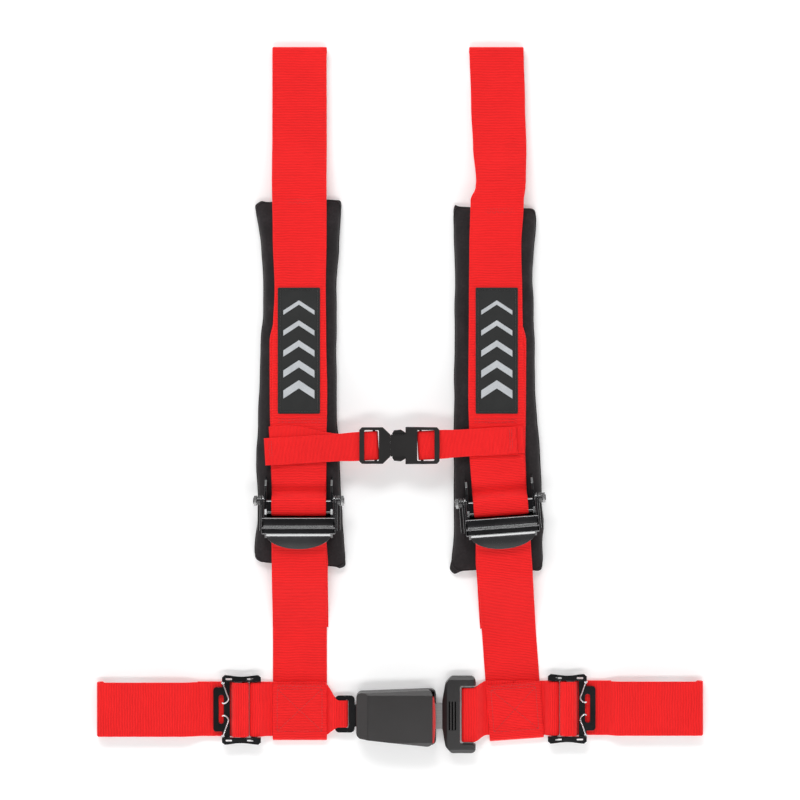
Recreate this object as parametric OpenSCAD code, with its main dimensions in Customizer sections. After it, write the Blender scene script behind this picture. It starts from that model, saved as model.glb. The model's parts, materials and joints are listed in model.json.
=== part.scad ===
// Four-point racing harness, laid out flat and buckled. Units are millimetres.
// X runs across the chest, Y up the body, Z off the table; the part lies on z = 0.
// The spare webbing of every strap is folded under, and ends in a bolt-in anchor plate.

/* [Webbing] */
// width of the main webbing
web_w = 50.8; // [38:0.1:76]
// thickness of all webbing
web_t = 1.4; // [1:0.1:2]
// width of the chest webbing
chest_w = 25.4; // [20:0.1:38]

/* [Layout] */
// centre line of the left shoulder strap
left_x = -94; // [-110:0.5:-80]
// centre line of the right shoulder strap
right_x = 90.2; // [80:0.1:110]
// turn of the right strap below the chest strap, degrees
right_turn = 4.2; // [0:0.1:5]
// height at which the straps begin to turn
turn_y = -56; // [-58:1:-54]
// upper fold of the shoulder straps
fold_y = 328.2; // [310:0.1:400]
// outer fold of the left lap strap
fold_x_left = -284.2; // [-340:0.1:-280]
// outer fold of the right lap strap
fold_x_right = 284.2; // [284:0.1:340]
// centre line of the left lap strap
lap_y_left = -290.15; // [-292:0.05:-289]
// centre line of the right lap strap
lap_y_right = -289.15; // [-290:0.05:-289]
// how much further out the right lap adjuster sits
lap_shift = 8.2; // [0:0.1:10]
// centre line of the latch
latch_y = -295.95; // [-297:0.05:-294]
// centre line of the chest clip
chest_y = -42.75; // [-44:0.05:-41]
// turn of the chest straps, degrees
chest_turn = 3.3; // [0:0.1:4]

/* [Pads] */
// thickness of a pad at its middle
pad_t = 16.3; // [14:0.1:16.3]
// thickness of a pad at its side
pad_edge_t = 10.5; // [8:0.1:12]
// wall of the pad cover
cover_t = 1.2; // [0.8:0.1:2]

/* [Anchor plates] */
// radius of the bolt hole, for a 7/16 inch bolt
bolt_r = 5.75; // [5:0.05:6.5]
// thickness of an anchor plate
anchor_t = 3; // [2.5:0.1:3]
// width of an anchor plate
anchor_w = 46; // [42:1:50]

/* [Latch] */
// thickness of the tongue
tongue_t = 2.5; // [2:0.1:2.5]
// width of the tongue's blade
tongue_w = 24.3; // [20:0.1:24.3]
// thickness of the latch body
latch_t = 23; // [22:0.5:25]

/* [Hidden] */
$fn = 48;
gap = 0.4;
side_x = [left_x, right_x];
side_turn = [0, right_turn];
lap_y = [lap_y_left, lap_y_right];
lap_fold = [fold_x_left, lap_shift - fold_x_right];
pad_out_left = [
    [-44.4, -152], [-41.6, -115], [-42.5, -50], [-40.6, -3], [-36, 100], [-38.5, 150], [-43.4, 181],
    [-40, 187], [-20, 186], [20, 187], [38, 188], [41.5, 184], [39, 150], [37, 100], [37, -3],
    [38.8, -50], [42.6, -115], [44.4, -160], [41, -163], [20, -160.5], [-20, -158], [-40, -158]];
pad_out_right = [
    [-44.4, -164], [-41.6, -115], [-42.5, -45], [-41.6, -3], [-40.6, 118], [-42.5, 176], [-40, 182],
    [-20, 180.5], [20, 180], [37, 181.5], [39.5, 177], [36, 118], [38.8, -3], [42.6, -45],
    [46.3, -115], [45.4, -165], [42, -167], [20, -165], [-20, -165], [-41, -168]];
pad_outline = [pad_out_left, pad_out_right];
// adjuster on the shoulder strap
lever_pivot = [-96.3, 23.5];
upper_bar = [-102, 23.5];
lock_bar = [-119.5, 22.3];
plate_in = 29.6;
plate_t = 2;
lever_in = plate_in + plate_t + gap;
// shift that puts the middle of the part on the origin
mid_shift = 2.35;
// layers of webbing over the table, all centre heights
z_back = 0.75;
z_under = 2.35;
z_over = 3.95;
z_flap = 5.55;
z_return = pad_t + 0.8;
z_front = z_return + 1.5;
z_top = 9.7;
// fold at the end of a strap, seen from the side with the fold edge at zero
fold_r = 3.5;
fold_c = [4.2, 4.4];
loop_c = [17.3, 4.45];
loop_r = 3.55;
anchor_bar_s = 16.5;
// lap adjuster
slide_bar = [-151.5, 7.2];
inner_bar = [-136.5, 5.2];
lap_wall = 26.2;
// latch
frame_z = 4.2;
frame_t = 2.5;
tongue_z = 7.2;
latch_top = 0.6 + latch_t;
// chest clip, and the bars its straps go round
clip_z = 22;
clip_bar = [-23.4, 19.8];

// ---- paths and ribbons

function arc(c, r, a0, a1, n = 10) =
    [for (i = [0:n]) let (a = a0 + (a1 - a0) * i / n) c + r * [cos(a), sin(a)]];

function ease(p, q, n = 8) =
    [for (i = [0:n]) let (u = i / n) [p[0] + (q[0] - p[0]) * u,
        p[1] + (q[1] - p[1]) * (1 - cos(180 * u)) / 2]];

function tidy_path(p) =
    [for (i = [0:len(p) - 1]) if (i == 0 || norm(p[i] - p[max(i - 1, 0)]) > 0.05) p[i]];

function heading(p, i) =
    let (d = p[min(i + 1, len(p) - 1)] - p[max(i - 1, 0)]) d / norm(d);

function edge(p, k) =
    [for (i = [0:len(p) - 1]) let (d = heading(p, i)) p[i] + k * [-d[1], d[0]]];

function ribbon(path) =
    let (p = tidy_path(path), a = edge(p, web_t / 2), b = edge(p, -web_t / 2), n = len(p) - 1,
        all = concat(a, [for (i = [n:-1:0]) b[i]]))
    [for (q = all) [round(q[0] * 1000) / 1000, round(q[1] * 1000) / 1000]];

function corner(p, i, r, n) =
    let (k = len(p), a = p[(i + k - 1) % k], b = p[i], c = p[(i + 1) % k],
        u = (a - b) / norm(a - b), v = (c - b) / norm(c - b), half = acos(u * v) / 2,
        o = b + (u + v) / norm(u + v) * r / sin(half),
        s = b + u * r / tan(half) - o, e = b + v * r / tan(half) - o,
        a0 = atan2(s[1], s[0]), da = (atan2(e[1], e[0]) - a0 + 540) % 360 - 180)
    [for (j = [0:n]) o + r * [cos(a0 + da * j / n), sin(a0 + da * j / n)]];

function rounded(p, r, n = 6) = [for (i = [0:len(p) - 1]) each corner(p, i, r, n)];

function box2(x0, y0, x1, y1) = [[x0, y0], [x1, y0], [x1, y1], [x0, y1]];

// a profile in (Y, Z), drawn out along X
module along_x(w) { rotate([90, 0, 90]) linear_extrude(w, center = true) children(); }

// a profile in (X, Z), drawn out along Y
module along_y(w) { rotate([90, 0, 0]) linear_extrude(w, center = true) children(); }

// a plate in plan, from z0 up to z1
module plan(z0, z1) { translate([0, 0, z0]) linear_extrude(z1 - z0) children(); }

module strap_y(path, w = web_w) { along_x(w) polygon(ribbon(path)); }

module strap_x(path, w = web_w) { along_y(w) polygon(ribbon(path)); }

module rod_x(c, r, w) { translate([0, c[0], c[1]]) rotate([0, 90, 0]) cylinder(h = w, r = r, center = true); }

module rod_y(c, r, w) { translate([c[0], 0, c[1]]) rotate([90, 0, 0]) cylinder(h = w, r = r, center = true); }

module both_x() { for (m = [0, 1]) mirror([m, 0, 0]) children(); }

module both_y() { for (m = [0, 1]) mirror([0, m, 0]) children(); }

// ---- where each half of the part goes

module shoulder(side) { translate([side_x[side], mid_shift, 0]) children(); }

module turned(side) {
    shoulder(side) translate([0, turn_y, 0]) rotate([0, 0, side_turn[side]])
        translate([0, -turn_y, 0]) children();
}

module lap(side) {
    if (side == 0) translate([0, lap_y[0], 0]) children();
    else translate([lap_shift, lap_y[1], 0]) mirror([1, 0, 0]) children();
}

module shoulder_fold(side) {
    shoulder(side) translate([0, fold_y, 0]) rotate([0, 0, -90]) children();
}

module lap_folded(side) { lap(side) translate([lap_fold[side], 0, 0]) children(); }

// ---- strap ends and anchor plates, along +X from the fold edge

module strap_end() {
    path = concat(arc(fold_c, fold_r, 90, 270, 14), [[9, 0.9]],
        arc(loop_c, loop_r, -90, 90, 12), [[14, 8], [10, 8]]);
    intersection() {
        strap_x(path);
        plan(-1, 12) polygon([[-1, -web_w / 2], [6, -web_w / 2], [12, -16], [24, -16],
            [24, 16], [12, 16], [6, web_w / 2], [-1, web_w / 2]]);
    }
}

module anchor_plate() {
    z0 = loop_c[1] - anchor_t / 2;
    difference() {
        union() {
            plan(z0, z0 + anchor_t) polygon(rounded([[anchor_bar_s - 2.5, -anchor_w / 2],
                [31, -anchor_w / 2], [62, -15], [62, 15], [31, anchor_w / 2],
                [anchor_bar_s - 2.5, anchor_w / 2]], 2.4, 4));
            translate([57, 0, z0]) cylinder(h = anchor_t, r = 15.6);
        }
        plan(z0 - 1, z0 + anchor_t + 1) polygon(rounded(box2(anchor_bar_s + 2.5, -17.5,
            anchor_bar_s + 9.5, 17.5), 2, 4));
        translate([56, 0, z0 - 1]) cylinder(h = anchor_t + 2, r = bolt_r);
    }
}

module shoulder_end(side) { color("red") shoulder_fold(side) strap_end(); }

module shoulder_anchor(side) { color("dimgray") shoulder_fold(side) anchor_plate(); }

module lap_end(side) { color("red") lap_folded(side) strap_end(); }

module lap_anchor(side) { color("dimgray") lap_folded(side) anchor_plate(); }

// ---- shoulder strap, pad and label

// straight above the chest strap and turned below it, joined inside its two layers
module shoulder_strap(side) {
    c = upper_bar + [-4, 0];
    cut = side * 1.1;
    color("red") {
        shoulder(side) {
            strap_y(concat([[fold_y - 1.8, z_top], [252, z_top]],
                ease([248, z_top], [192, z_return + 0.1]), [[100, z_return + 0.1]],
                ease([92, z_return + 0.1], [76, z_front]), [[turn_y + cut, z_front]]));
            strap_y([[turn_y + cut, z_return], [72, z_return]]);
            for (z = [z_front, z_return]) translate([-23, turn_y - 5, z - 0.5]) cube([46, 10, 1]);
        }
        turned(side) strap_y(concat([[turn_y - cut, z_front]],
            ease([-86, z_front], [-91.5, 22.6], 5), ease([-91.9, 23.8], [-96.6, c[1] + 3.8], 5),
            arc(c, 3.8, 90, 270, 12), ease([-96, c[1] - 3.8], [-88, z_return]),
            [[turn_y - cut, z_return]]));
    }
}

function pad_section(inset) =
    let (a = 47 - inset, h = pad_t / 2 - inset, e = pad_edge_t / 2 - inset)
    concat([for (i = [0:24]) let (x = -a + 2 * a * i / 24)
            [x, pad_t / 2 - e - (h - e) * sqrt(max(0, 1 - pow(abs(x / a), 2.4)))]],
        [for (i = [24:-1:0]) let (x = -a + 2 * a * i / 24)
            [x, pad_t / 2 + e + (h - e) * sqrt(max(0, 1 - pow(abs(x / a), 2.4)))]]);

module pad_block(side, inset) {
    rows = pad_outline[side];
    mid_y = 10;
    intersection() {
        plan(0, 30) polygon([for (p = rows) [p[0] - sign(p[0]) * inset * 1.4,
            p[1] - sign(p[1] - mid_y) * (abs(p[1]) > 140 ? inset * 1.4 : 0)]]);
        rotate([90, 0, 0]) linear_extrude(400, center = true) polygon(pad_section(inset));
    }
}

module pad_cover(side) {
    color("#2b2526") shoulder(side) difference() {
        pad_block(side, 0);
        pad_block(side, cover_t);
    }
}

module pad_core(side) { color("khaki") shoulder(side) pad_block(side, cover_t + 0.1); }

module label(side) {
    z0 = z_front + web_t / 2 + 0.05;
    color("#232626") shoulder(side) plan(z0, z0 + 0.8)
        polygon(rounded(box2(-19.8, -15.5, 19.6, 101.9), 1, 3));
}

// ---- lever adjuster of the shoulder strap

module adjuster_frame(side) {
    wall = [[-74.5, 16.9], [-74.5, 20], [-77, 23.6], [-82, 26.8], [-88, 28.6], [-104, 28.6],
        [-110, 27], [-128, 27], [-131, 24.5], [-131, 16.9]];
    color("#1a1a1c") turned(side) {
        both_x() translate([plate_in + plate_t / 2, 0, 0]) along_x(plate_t) difference() {
            polygon(rounded(wall, 1.2, 3));
            translate(lever_pivot) circle(r = 2.5);
            translate(lock_bar) circle(r = 2.55);
            translate(lock_bar + [2.1, 0]) circle(r = 2.55);
            translate(lock_bar + [0, -2.55]) square([2.1, 5.1]);
        }
        rod_x([-127.6, 21.4], 2.4, 2 * plate_in);
    }
}

module adjuster_bar(side) {
    color("#202022") turned(side) along_x(2 * plate_in) {
        translate(upper_bar + [-4, -3]) square([8, 6]);
        translate(upper_bar + [-4, 0]) circle(r = 3);
        translate(upper_bar + [4, 0]) circle(r = 3);
    }
}

module adjuster_pins(side) {
    color("#2a2a2c") turned(side) both_x() translate([0, lever_pivot[0], lever_pivot[1]])
        rotate([0, 90, 0]) {
            translate([0, 0, plate_in]) cylinder(h = 10, r = 2.5);
            translate([0, 0, 39]) linear_extrude(2.6) circle(r = 5.4, $fn = 6);
            translate([0, 0, 41.6]) cylinder(h = 0.8, r = 3);
        }
}

module lever(side) {
    arm = [[-91, 21], [-91, 25.5], [-95, 29.5], [-112, 32.2], [-126.6, 32.2], [-126.6, 28.8],
        [-115, 27.2], [-103, 19.5], [-98, 17.8], [-93.5, 18]];
    color("#1a1a1c") turned(side) {
        both_x() translate([lever_in + 1, 0, 0]) along_x(2) difference() {
            polygon(rounded(arm, 1.4, 3));
            translate(lever_pivot) circle(r = 2.55);
        }
        along_x(2 * lever_in + 4) {
            translate([-126.6, 30.4]) square([5.6, 1.8]);
            translate([-121.6, 30.0]) square([1.4, 2.6]);
            translate([-120.8, 30.4]) square([7.1, 1.8]);
            translate([-114.4, 31]) circle(r = 1.2, $fn = 24);
        }
        translate([0, -126.2, 32.2]) rotate([22, 0, 0]) translate([0, 0, -1.8])
            linear_extrude(1.8) intersection() {
                translate([-29.8, -15.5]) square([59.6, 15.5]);
                translate([0, 76]) circle(r = 91, $fn = 120);
            }
        translate([0, -126.6, 30.4]) along_x(59.6) polygon([[-2, -0.4], [-2, 1], [0.6, 1.8], [0.6, 0]]);
    }
}

module lever_springs(side) {
    color("#3a3a3c") turned(side) both_x() {
        for (x = [35.2, 36.5, 37.8]) translate([x, lever_pivot[0], lever_pivot[1]]) rotate([0, 90, 0])
            rotate_extrude($fn = 32) translate([4, 0]) circle(r = 0.75, $fn = 16);
        for (p = [[35.2, 4], [37.8, -4]]) translate([p[0], lever_pivot[0], lever_pivot[1] + p[1]])
            rotate([83, 0, 0]) cylinder(h = 28, r = 0.7);
    }
}

module lock_bar_part(side) {
    color("#8c8c90") turned(side) {
        rod_x(lock_bar, 2.5, 2 * (plate_in + plate_t));
        translate([0, lock_bar[0], lock_bar[1]]) rotate([0, 90, 0]) difference() {
            cylinder(h = 58.4, r = 4, center = true);
            for (a = [0:20:359]) rotate([0, 0, a]) translate([4.3, 0, 0])
                cylinder(h = 54, r = 0.6, center = true, $fn = 16);
        }
    }
}

module lower_strap(side) {
    c = lock_bar;
    r = 5.05;
    wrap = [-318.8, (z_flap + z_back) / 2];
    front = concat([[-269, z_flap], [-316, z_flap]],
        arc(wrap, (z_flap - z_back) / 2, 90, 270, 12), [[-230, z_back]],
        [[-222, 1.3], [-213, 3.2], [-203, 6.3], [-193, 10], [-183, 13.8], [-175, 17], [-168, 19],
        [-158, 19.8], [-148, 20.6], [-140, 21.8], [-132, 24.4], [-126.5, 26.6]]);
    back = [[-126, z_return + 0.05], [-169, z_return + 0.05], [-174, 15.8], [-182, 12],
        [-191, 7.8], [-200, 4.4], [-209, 1.9], [-216, 0.9]];
    color("red") turned(side) strap_y(concat(front, arc(c, r, 108, 90, 2),
        arc(c + [2.3, 0], r, 90, -90, 12), back));
}

// ---- lap straps

module lap_inner_strap(side) {
    ring = inner_bar;
    r = 4.05;
    outer = concat(ease([-126, z_under], [-134, ring[1] - r], 4), arc(ring, r, 270, 90, 14),
        ease([-134, ring[1] + r], [-122.5 - 4 * side, z_over], 6));
    color("red") {
        if (side == 0) {
            plate_mid = frame_z + frame_t / 2;
            intersection() {
                translate([0, lap_y[0], 0]) strap_x(concat([[-100, z_over], [-70, z_over]],
                    ease([-68.2, z_over], [-60.8, plate_mid + 2.1], 6), arc([-51.6, plate_mid], 2.1, 90, -90, 10),
                    ease([-62, plate_mid - 2.1], [-68.5, z_under], 6), outer, [[-101, z_over]]), 70);
                plan(-1, 20) polygon([[-150, lap_y[0] - web_w / 2], [-70, lap_y[0] - web_w / 2],
                    [-54, latch_y - 11], [-46, latch_y - 11], [-46, latch_y + 14],
                    [-54, latch_y + 14], [-70, lap_y[0] + web_w / 2], [-150, lap_y[0] + web_w / 2]]);
            }
        } else {
            plate_mid = tongue_z + tongue_t / 2;
            shift = lap_shift;
            intersection() {
                translate([0, lap_y[1], 0]) mirror([1, 0, 0]) strap_x(concat(
                    [[-106, z_over], [-81, z_over]],
                    ease([-79.5, z_over], [-69.6, plate_mid + 2.1], 6),
                    arc([-60.2, plate_mid], 2.1, 90, -90, 10),
                    ease([-69.6, plate_mid - 2.1], [-79, z_under], 6),
                    [for (p = outer) p - [shift, 0]], [[-107, z_over]]), 70);
                plan(-1, 20) polygon([[160, lap_y[1] - web_w / 2], [80, lap_y[1] - web_w / 2],
                    [68, latch_y + 1 - web_w / 2], [50, latch_y + 1 - web_w / 2],
                    [50, latch_y + 1 + web_w / 2], [68, latch_y + 1 + web_w / 2],
                    [80, lap_y[1] + web_w / 2], [160, lap_y[1] + web_w / 2]]);
            }
        }
    }
}

module lap_frame(side) {
    wave = [for (i = [1:13]) [-166.4 + 36.4 * i / 14, 31.9 + 0.8 * cos(360 * i / 14)]];
    wall = [[-166.4, 5.6], [-166.4, 11], [-130, 11], [-130, 6.4], [-133.4, 1.6], [-146, 1.6],
        [-158, 3.4]];
    color("#1a1a1c") lap(side) {
        plan(5.6, 7.4) difference() {
            union() {
                polygon(rounded(box2(-174.9, -20.8, -163, 20.8), 3, 5));
                translate([-166.4, -lap_wall - 1.6]) square([7.2, 2 * lap_wall + 3.2]);
            }
            polygon(rounded(box2(-169.8, -13.5, -165, 13.5), 2.2, 5));
        }
        both_y() {
            translate([0, lap_wall + 0.8, 0]) along_y(1.6) difference() {
                polygon(wall);
                translate(slide_bar) circle(r = 2.25);
                translate(slide_bar + [3, 0]) circle(r = 2.25);
                translate(slide_bar + [0, -2.25]) square([3, 4.5]);
            }
            plan(9.4, 11) difference() {
                polygon(concat([[-130, lap_wall], [-166.4, lap_wall], [-166.4, 30.4]], wave, [[-130, 30.4]]));
                for (x = [-160, -140]) translate([x, lap_wall + 2.5])
                    polygon(rounded(box2(-3, -0.8, 3, 0.8), 0.7, 4));
            }
            translate([inner_bar[0], lap_wall + 1.6, inner_bar[1]]) rotate([-90, 0, 0])
                cylinder(h = 1.2, r = 3.8);
        }
        rod_y(inner_bar, 3, 2 * lap_wall + 3.2);
    }
}

module lap_slide_bar(side) {
    color("#8c8c90") lap(side) {
        rod_y(slide_bar, 2.2, 2 * lap_wall + 3.2);
        translate([slide_bar[0], 0, slide_bar[1]]) rotate([90, 0, 0]) difference() {
            cylinder(h = 2 * lap_wall - 0.8, r = 4, center = true);
            for (a = [0:20:359]) rotate([0, 0, a]) translate([4.3, 0, 0])
                cylinder(h = 52, r = 0.6, center = true, $fn = 16);
        }
    }
}

module lap_springs(side) {
    path = [[-165.8, 25.2], [-164.8, 22.4], [-162.6, 16], [-160.4, 10.4], [-160.6, 8.6], [-162, 7],
        [-164, 5.6], [-165.6, 5.4], [-166.6, 6.4]];
    color("silver") lap(side) both_y() {
        plan(7.7, 9.1) polygon(ribbon(path));
        translate([-165.8, 24.9, 7.7]) cylinder(h = 1.6, r = 1.1);
    }
}

module lap_strap(side) {
    c = slide_bar;
    r = 5.5;
    f = lap_fold[side];
    color("red") lap(side) strap_x(concat([[f + 1.8, z_top], [f + 78, z_top]],
        ease([f + 80, z_top], [-184, 4.2]), [[-160.6, 4.2], [-158.7, 4.5], [-157.4, 5.3]],
        arc(c, r, 184, 90, 8), arc(c + [3.3, 0], r, 90, -90, 12),
        [[-156, 1.7], [-160, 1.1], [-190, 0.9]]));
}

// ---- chest strap and clip

module chest_strap(side) {
    c = [clip_bar[0], clip_z - 1.2];
    r = 2.1;
    path = concat([[-121 + 2 * side, z_front + 1.5], [-62, z_front + 1.5]],
        ease([-62, z_front + 1.5], [-46, c[1] - r], 6), arc(c, r, -90, 90, 12),
        ease([-44, c[1] + r], [-60, z_front + 3.1], 6), [[-126 + 16 * side, z_front + 3.1]]);
    color("red") translate([0, chest_y, 0]) {
        chest_turned(side) if (side == 0) strap_x(path, chest_w);
            else translate([clip_bar[0] + clip_bar[1], 0, 0]) mirror([1, 0, 0]) strap_x(path, chest_w);
    }
}

module chest_turned(side) {
    translate([clip_bar[side], 0, 0]) rotate([0, 0, chest_turn]) translate([-clip_bar[side], 0, 0]) children();
}

module clip_inner_bar(side) {
    chest_turned(side) rod_y([clip_bar[side], clip_z - 1.2], 1.3, 29.6);
}

module clip_male() {
    color("#3a3838") translate([0, chest_y, 0]) {
        difference() {
            plan(clip_z - 3.5, clip_z + 3.5) difference() {
                polygon([[-37.8, -14.5], [-35.4, -17], [-16, -17], [-9.4, -10.3], [-9.4, 10.3],
                    [-16, 17], [-35.4, 17], [-37.8, 14.5]]);
                polygon(rounded(box2(-33.2, -14.3, -19.6, 14.3), 1, 3));
            }
            translate([-39, -14.3, clip_z - 4.2]) cube([6, 28.6, 6]);
        }
        clip_inner_bar(0);
        plan(clip_z - 1.6, clip_z + 1.6) {
            translate([-10, -2]) square([18, 4]);
            translate([8, 0]) circle(r = 2, $fn = 24);
        }
    }
}

module clip_prong(way) {
    color("#232122") translate([0, chest_y, 0]) plan(clip_z - 1.5, clip_z + 1.5)
        polygon([for (p = [[-9.1, 4], [-9.1, 7], [-5.6, 7.6], [-7.4, 11], [-5.6, 14.2], [0.8, 14.8],
            [4.4, 12.6], [9, 8.4], [11.6, 5.6], [10.4, 4.2], [4, 6.2], [-2, 4.6]]) [p[0], way * p[1]]]);
}

module clip_prong_upper() { clip_prong(1); }

module clip_prong_lower() { clip_prong(-1); }

module clip_female() {
    color("#3a3838") translate([0, chest_y, 0]) clip_inner_bar(1);
    color("#3a3838") translate([0, chest_y, 0]) difference() {
        plan(clip_z - 3.5, clip_z + 3.5) difference() {
            union() {
                polygon(rounded([[-9, -10.2], [6, -10.2], [6, 10.2], [-9, 10.2]], 1, 3));
                polygon([[5.1, -17.3], [34.3, -17], [36.7, -14.5], [36.7, 14.5], [34.3, 17], [5.1, 17.3]]);
            }
            polygon(rounded(box2(16, -14.3, 32, 14.3), 1, 3));
        }
        translate([-10, -8.4, clip_z - 2]) cube([23.4, 16.8, 4]);
        translate([-8, -18, clip_z - 2]) cube([13.1, 36, 4]);
        translate([5, -15.2, clip_z - 2]) cube([8.4, 30.4, 4]);
        translate([31.9, -14.3, clip_z - 4.2]) cube([6, 28.6, 6]);
    }
}

// ---- latch and tongue

function latch_outline(inset, x1) = [[-40.8 + inset, latch_y - 19.6 + inset], [x1 - inset, latch_y - 27.7 + inset],
    [x1 - inset, latch_y + 25.3 - inset], [-40.8 + inset, latch_y + 22.5 - inset]];

module latch_shell(inset, x1) {
    a = inset;
    intersection() {
        plan(0, 40) polygon(rounded(latch_outline(a, x1), 5 - a, 6));
        translate([0, latch_y, 0]) along_y(80) polygon(rounded([[-41 + a, 3 + a], [-36 + a, 0.6 + a],
            [34 - a, 0.6 + a], [34 - a, latch_top - a], [-30 + a, latch_top - a],
            [-41 + a, latch_top - 7 - a]], 1.6, 4));
        translate([0, latch_y, 0]) along_x(120) polygon([[-30.7 + a, 0.6 + a],
            [-30.7 + a, latch_top - 5 - a], [-23.2, latch_top - a], [20.8, latch_top - a],
            [28.3 - a, latch_top - 5 - a], [28.3 - a, 0.6 + a]]);
    }
}

module latch_bottom_cover() {
    color("#3a3838") difference() {
        latch_shell(0, 33.7);
        latch_shell(2, 38);
        translate([-60, -340, 10.6]) cube([120, 80, 40]);
        translate([-45, latch_y - 11, 3.9]) cube([8, 22, 8]);
        translate([30, latch_y - 12.8, 6.8]) cube([6, 25.6, 4]);
    }
    color("#3a3838") for (x = [-31, 18]) translate([x, latch_y - 12, 2]) cube([4, 24, frame_z - 2]);
}

module latch_top_cover() {
    color("#454343") difference() {
        latch_shell(0, 30.2);
        latch_shell(2, 36);
        translate([-60, -340, -20]) cube([120, 80, 30.9]);
    }
    color("#454343") translate([-15.6, latch_y - 10, 12.8]) cube([2, 20, latch_top - 13.4]);
}

module latch_frame() {
    z1 = frame_z + frame_t;
    color("#1c1c1e") translate([0, latch_y, 0]) difference() {
        union() {
            plan(frame_z, z1) {
                polygon(rounded(box2(-60.8, -16, -42.4, 18.8), 4, 5));
                translate([-44, -10.4]) square([12, 20.8]);
                translate([-36, -16.4]) square([64, 32.8]);
            }
            both_y() translate([-24, 14.4, z1]) cube([46.8, 2, 9]);
            translate([-26.4, -14.4, z1]) cube([2, 28.8, 4.4]);
            translate([-19.5, -4, z1]) cube([6.5, 8, 3.7]);
        }
        plan(frame_z - 1, z1 + 1) polygon(rounded(box2(-51.4, -11.5, -48.2, 14.5), 1.5, 4));
        translate([-16.3, 0, 0]) cylinder(h = 20, r = 1.8, $fn = 32);
    }
}

module latch_catch() {
    color("lightgray") translate([0, latch_y, 0]) difference() {
        union() {
            translate([-19.5, -4, 10.4]) cube([34, 8, 0.9]);
            translate([11.6, -4, 7.5]) cube([2.9, 8, 3.2]);
        }
        translate([-16.3, 0, 0]) cylinder(h = 20, r = 1.8, $fn = 32);
    }
}

module latch_rivet() {
    color("silver") translate([-16.3, latch_y, 0]) {
        translate([0, 0, 3.2]) cylinder(h = 9.1, r = 1.8, $fn = 32);
        translate([0, 0, 11.3]) cylinder(h = 1, r = 3.2, $fn = 32);
        translate([0, 0, 3.2]) cylinder(h = 1, r = 3.2, $fn = 32);
    }
}

module latch_button() {
    color("#e02020") {
        intersection() {
            translate([27.4, latch_y - 23.7, 12]) cube([5.8, 42.4, latch_top - 14.6]);
            translate([-116.8, latch_y - 2.5, 0]) cylinder(h = 40, r = 150, $fn = 360);
        }
        translate([3.4, latch_y - 8, 12.4]) cube([25, 16, 3]);
        for (y = [-1, 1]) translate([6, latch_y + y * 19 - 1.2, 12.4]) cube([22, 2.4, 4]);
    }
}

module coil_x(x0, x1, y, z, r, wire_r, turns) {
    for (i = [0:turns - 1]) translate([x0 + wire_r + (x1 - x0 - 2 * wire_r) * i / (turns - 1), y, z])
        rotate([0, 90, 0]) rotate_extrude($fn = 24) translate([r, 0]) circle(r = wire_r, $fn = 12);
    translate([x0 + wire_r, y + r, z]) rotate([0, 90, 0]) cylinder(h = x1 - x0 - 2 * wire_r, r = 0.3, $fn = 12);
}

module latch_button_springs() {
    color("silver") for (y = [-1, 1]) coil_x(-13, 3, latch_y + y * 5.4, 14, 1.9, 0.35, 9);
}

module latch_ejector() {
    color("#d8d4c8") translate([0, latch_y, 0]) difference() {
        translate([-9.6, -12, tongue_z]) cube([9.2, 24, 2.6]);
        translate([-11, -5, tongue_z - 1]) cube([3.4, 10, 5]);
    }
}

module latch_ejector_springs() {
    color("silver") for (y = [-1, 1]) coil_x(-24, -10, latch_y + y * 9, tongue_z + 2.1, 1.6, 0.35, 8);
}

module tongue_plate() {
    color("lightgray") translate([0, latch_y, 0]) plan(tongue_z, tongue_z + tongue_t) difference() {
        union() {
            polygon(rounded([[0, -tongue_w / 2 + 3], [3, -tongue_w / 2], [48, -tongue_w / 2],
                [48, tongue_w / 2], [3, tongue_w / 2], [0, tongue_w / 2 - 3]], 1, 3));
            polygon(rounded(box2(46, -32, 69, 34), 4, 5));
        }
        polygon(rounded(box2(8.5, -5, 18.5, 5), 1, 3));
        polygon(rounded(box2(55.4, -25.6, 60, 27.8), 1.8, 4));
    }
}

module tongue_grip() {
    body = [[39.6, -12], [42.4, -28], [48, -34.6], [70.7, -34.6], [70.7, 37.4], [48, 37.4],
        [42.4, 30.4], [39.6, 14]];
    color("#3a3838") translate([0, latch_y, 0]) difference() {
        intersection() {
            plan(3.2, 13.6) polygon(rounded(body, 4.6, 6));
            along_x(200) polygon(rounded([[-34.8, 5.2], [-31, 3.2], [34, 3.2], [37.6, 5.2],
                [37.6, 11.4], [34, 13.6], [-31, 13.6], [-34.8, 11.4]], 1.2, 3));
            translate([0, 1.4, 0]) along_y(90) polygon(rounded([[39.5, 5.4], [42, 3.2], [71, 3.2],
                [71, 11], [69, 13.6], [44, 13.6], [39.5, 11.2]], 1.2, 3));
        }
        plan(1, 20) polygon(rounded(box2(56, -26.4, 74, 28.6), 2, 4));
        plan(tongue_z - 0.01, tongue_z + tongue_t + 0.01) {
            translate([30, -tongue_w / 2]) square([20, tongue_w]);
            polygon(rounded(box2(46, -32, 69, 34), 4, 5));
        }
        for (x = [45.4, 48.2, 51]) translate([x, -13, 12.6]) cube([1.4, 27, 2]);
    }
}

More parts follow.
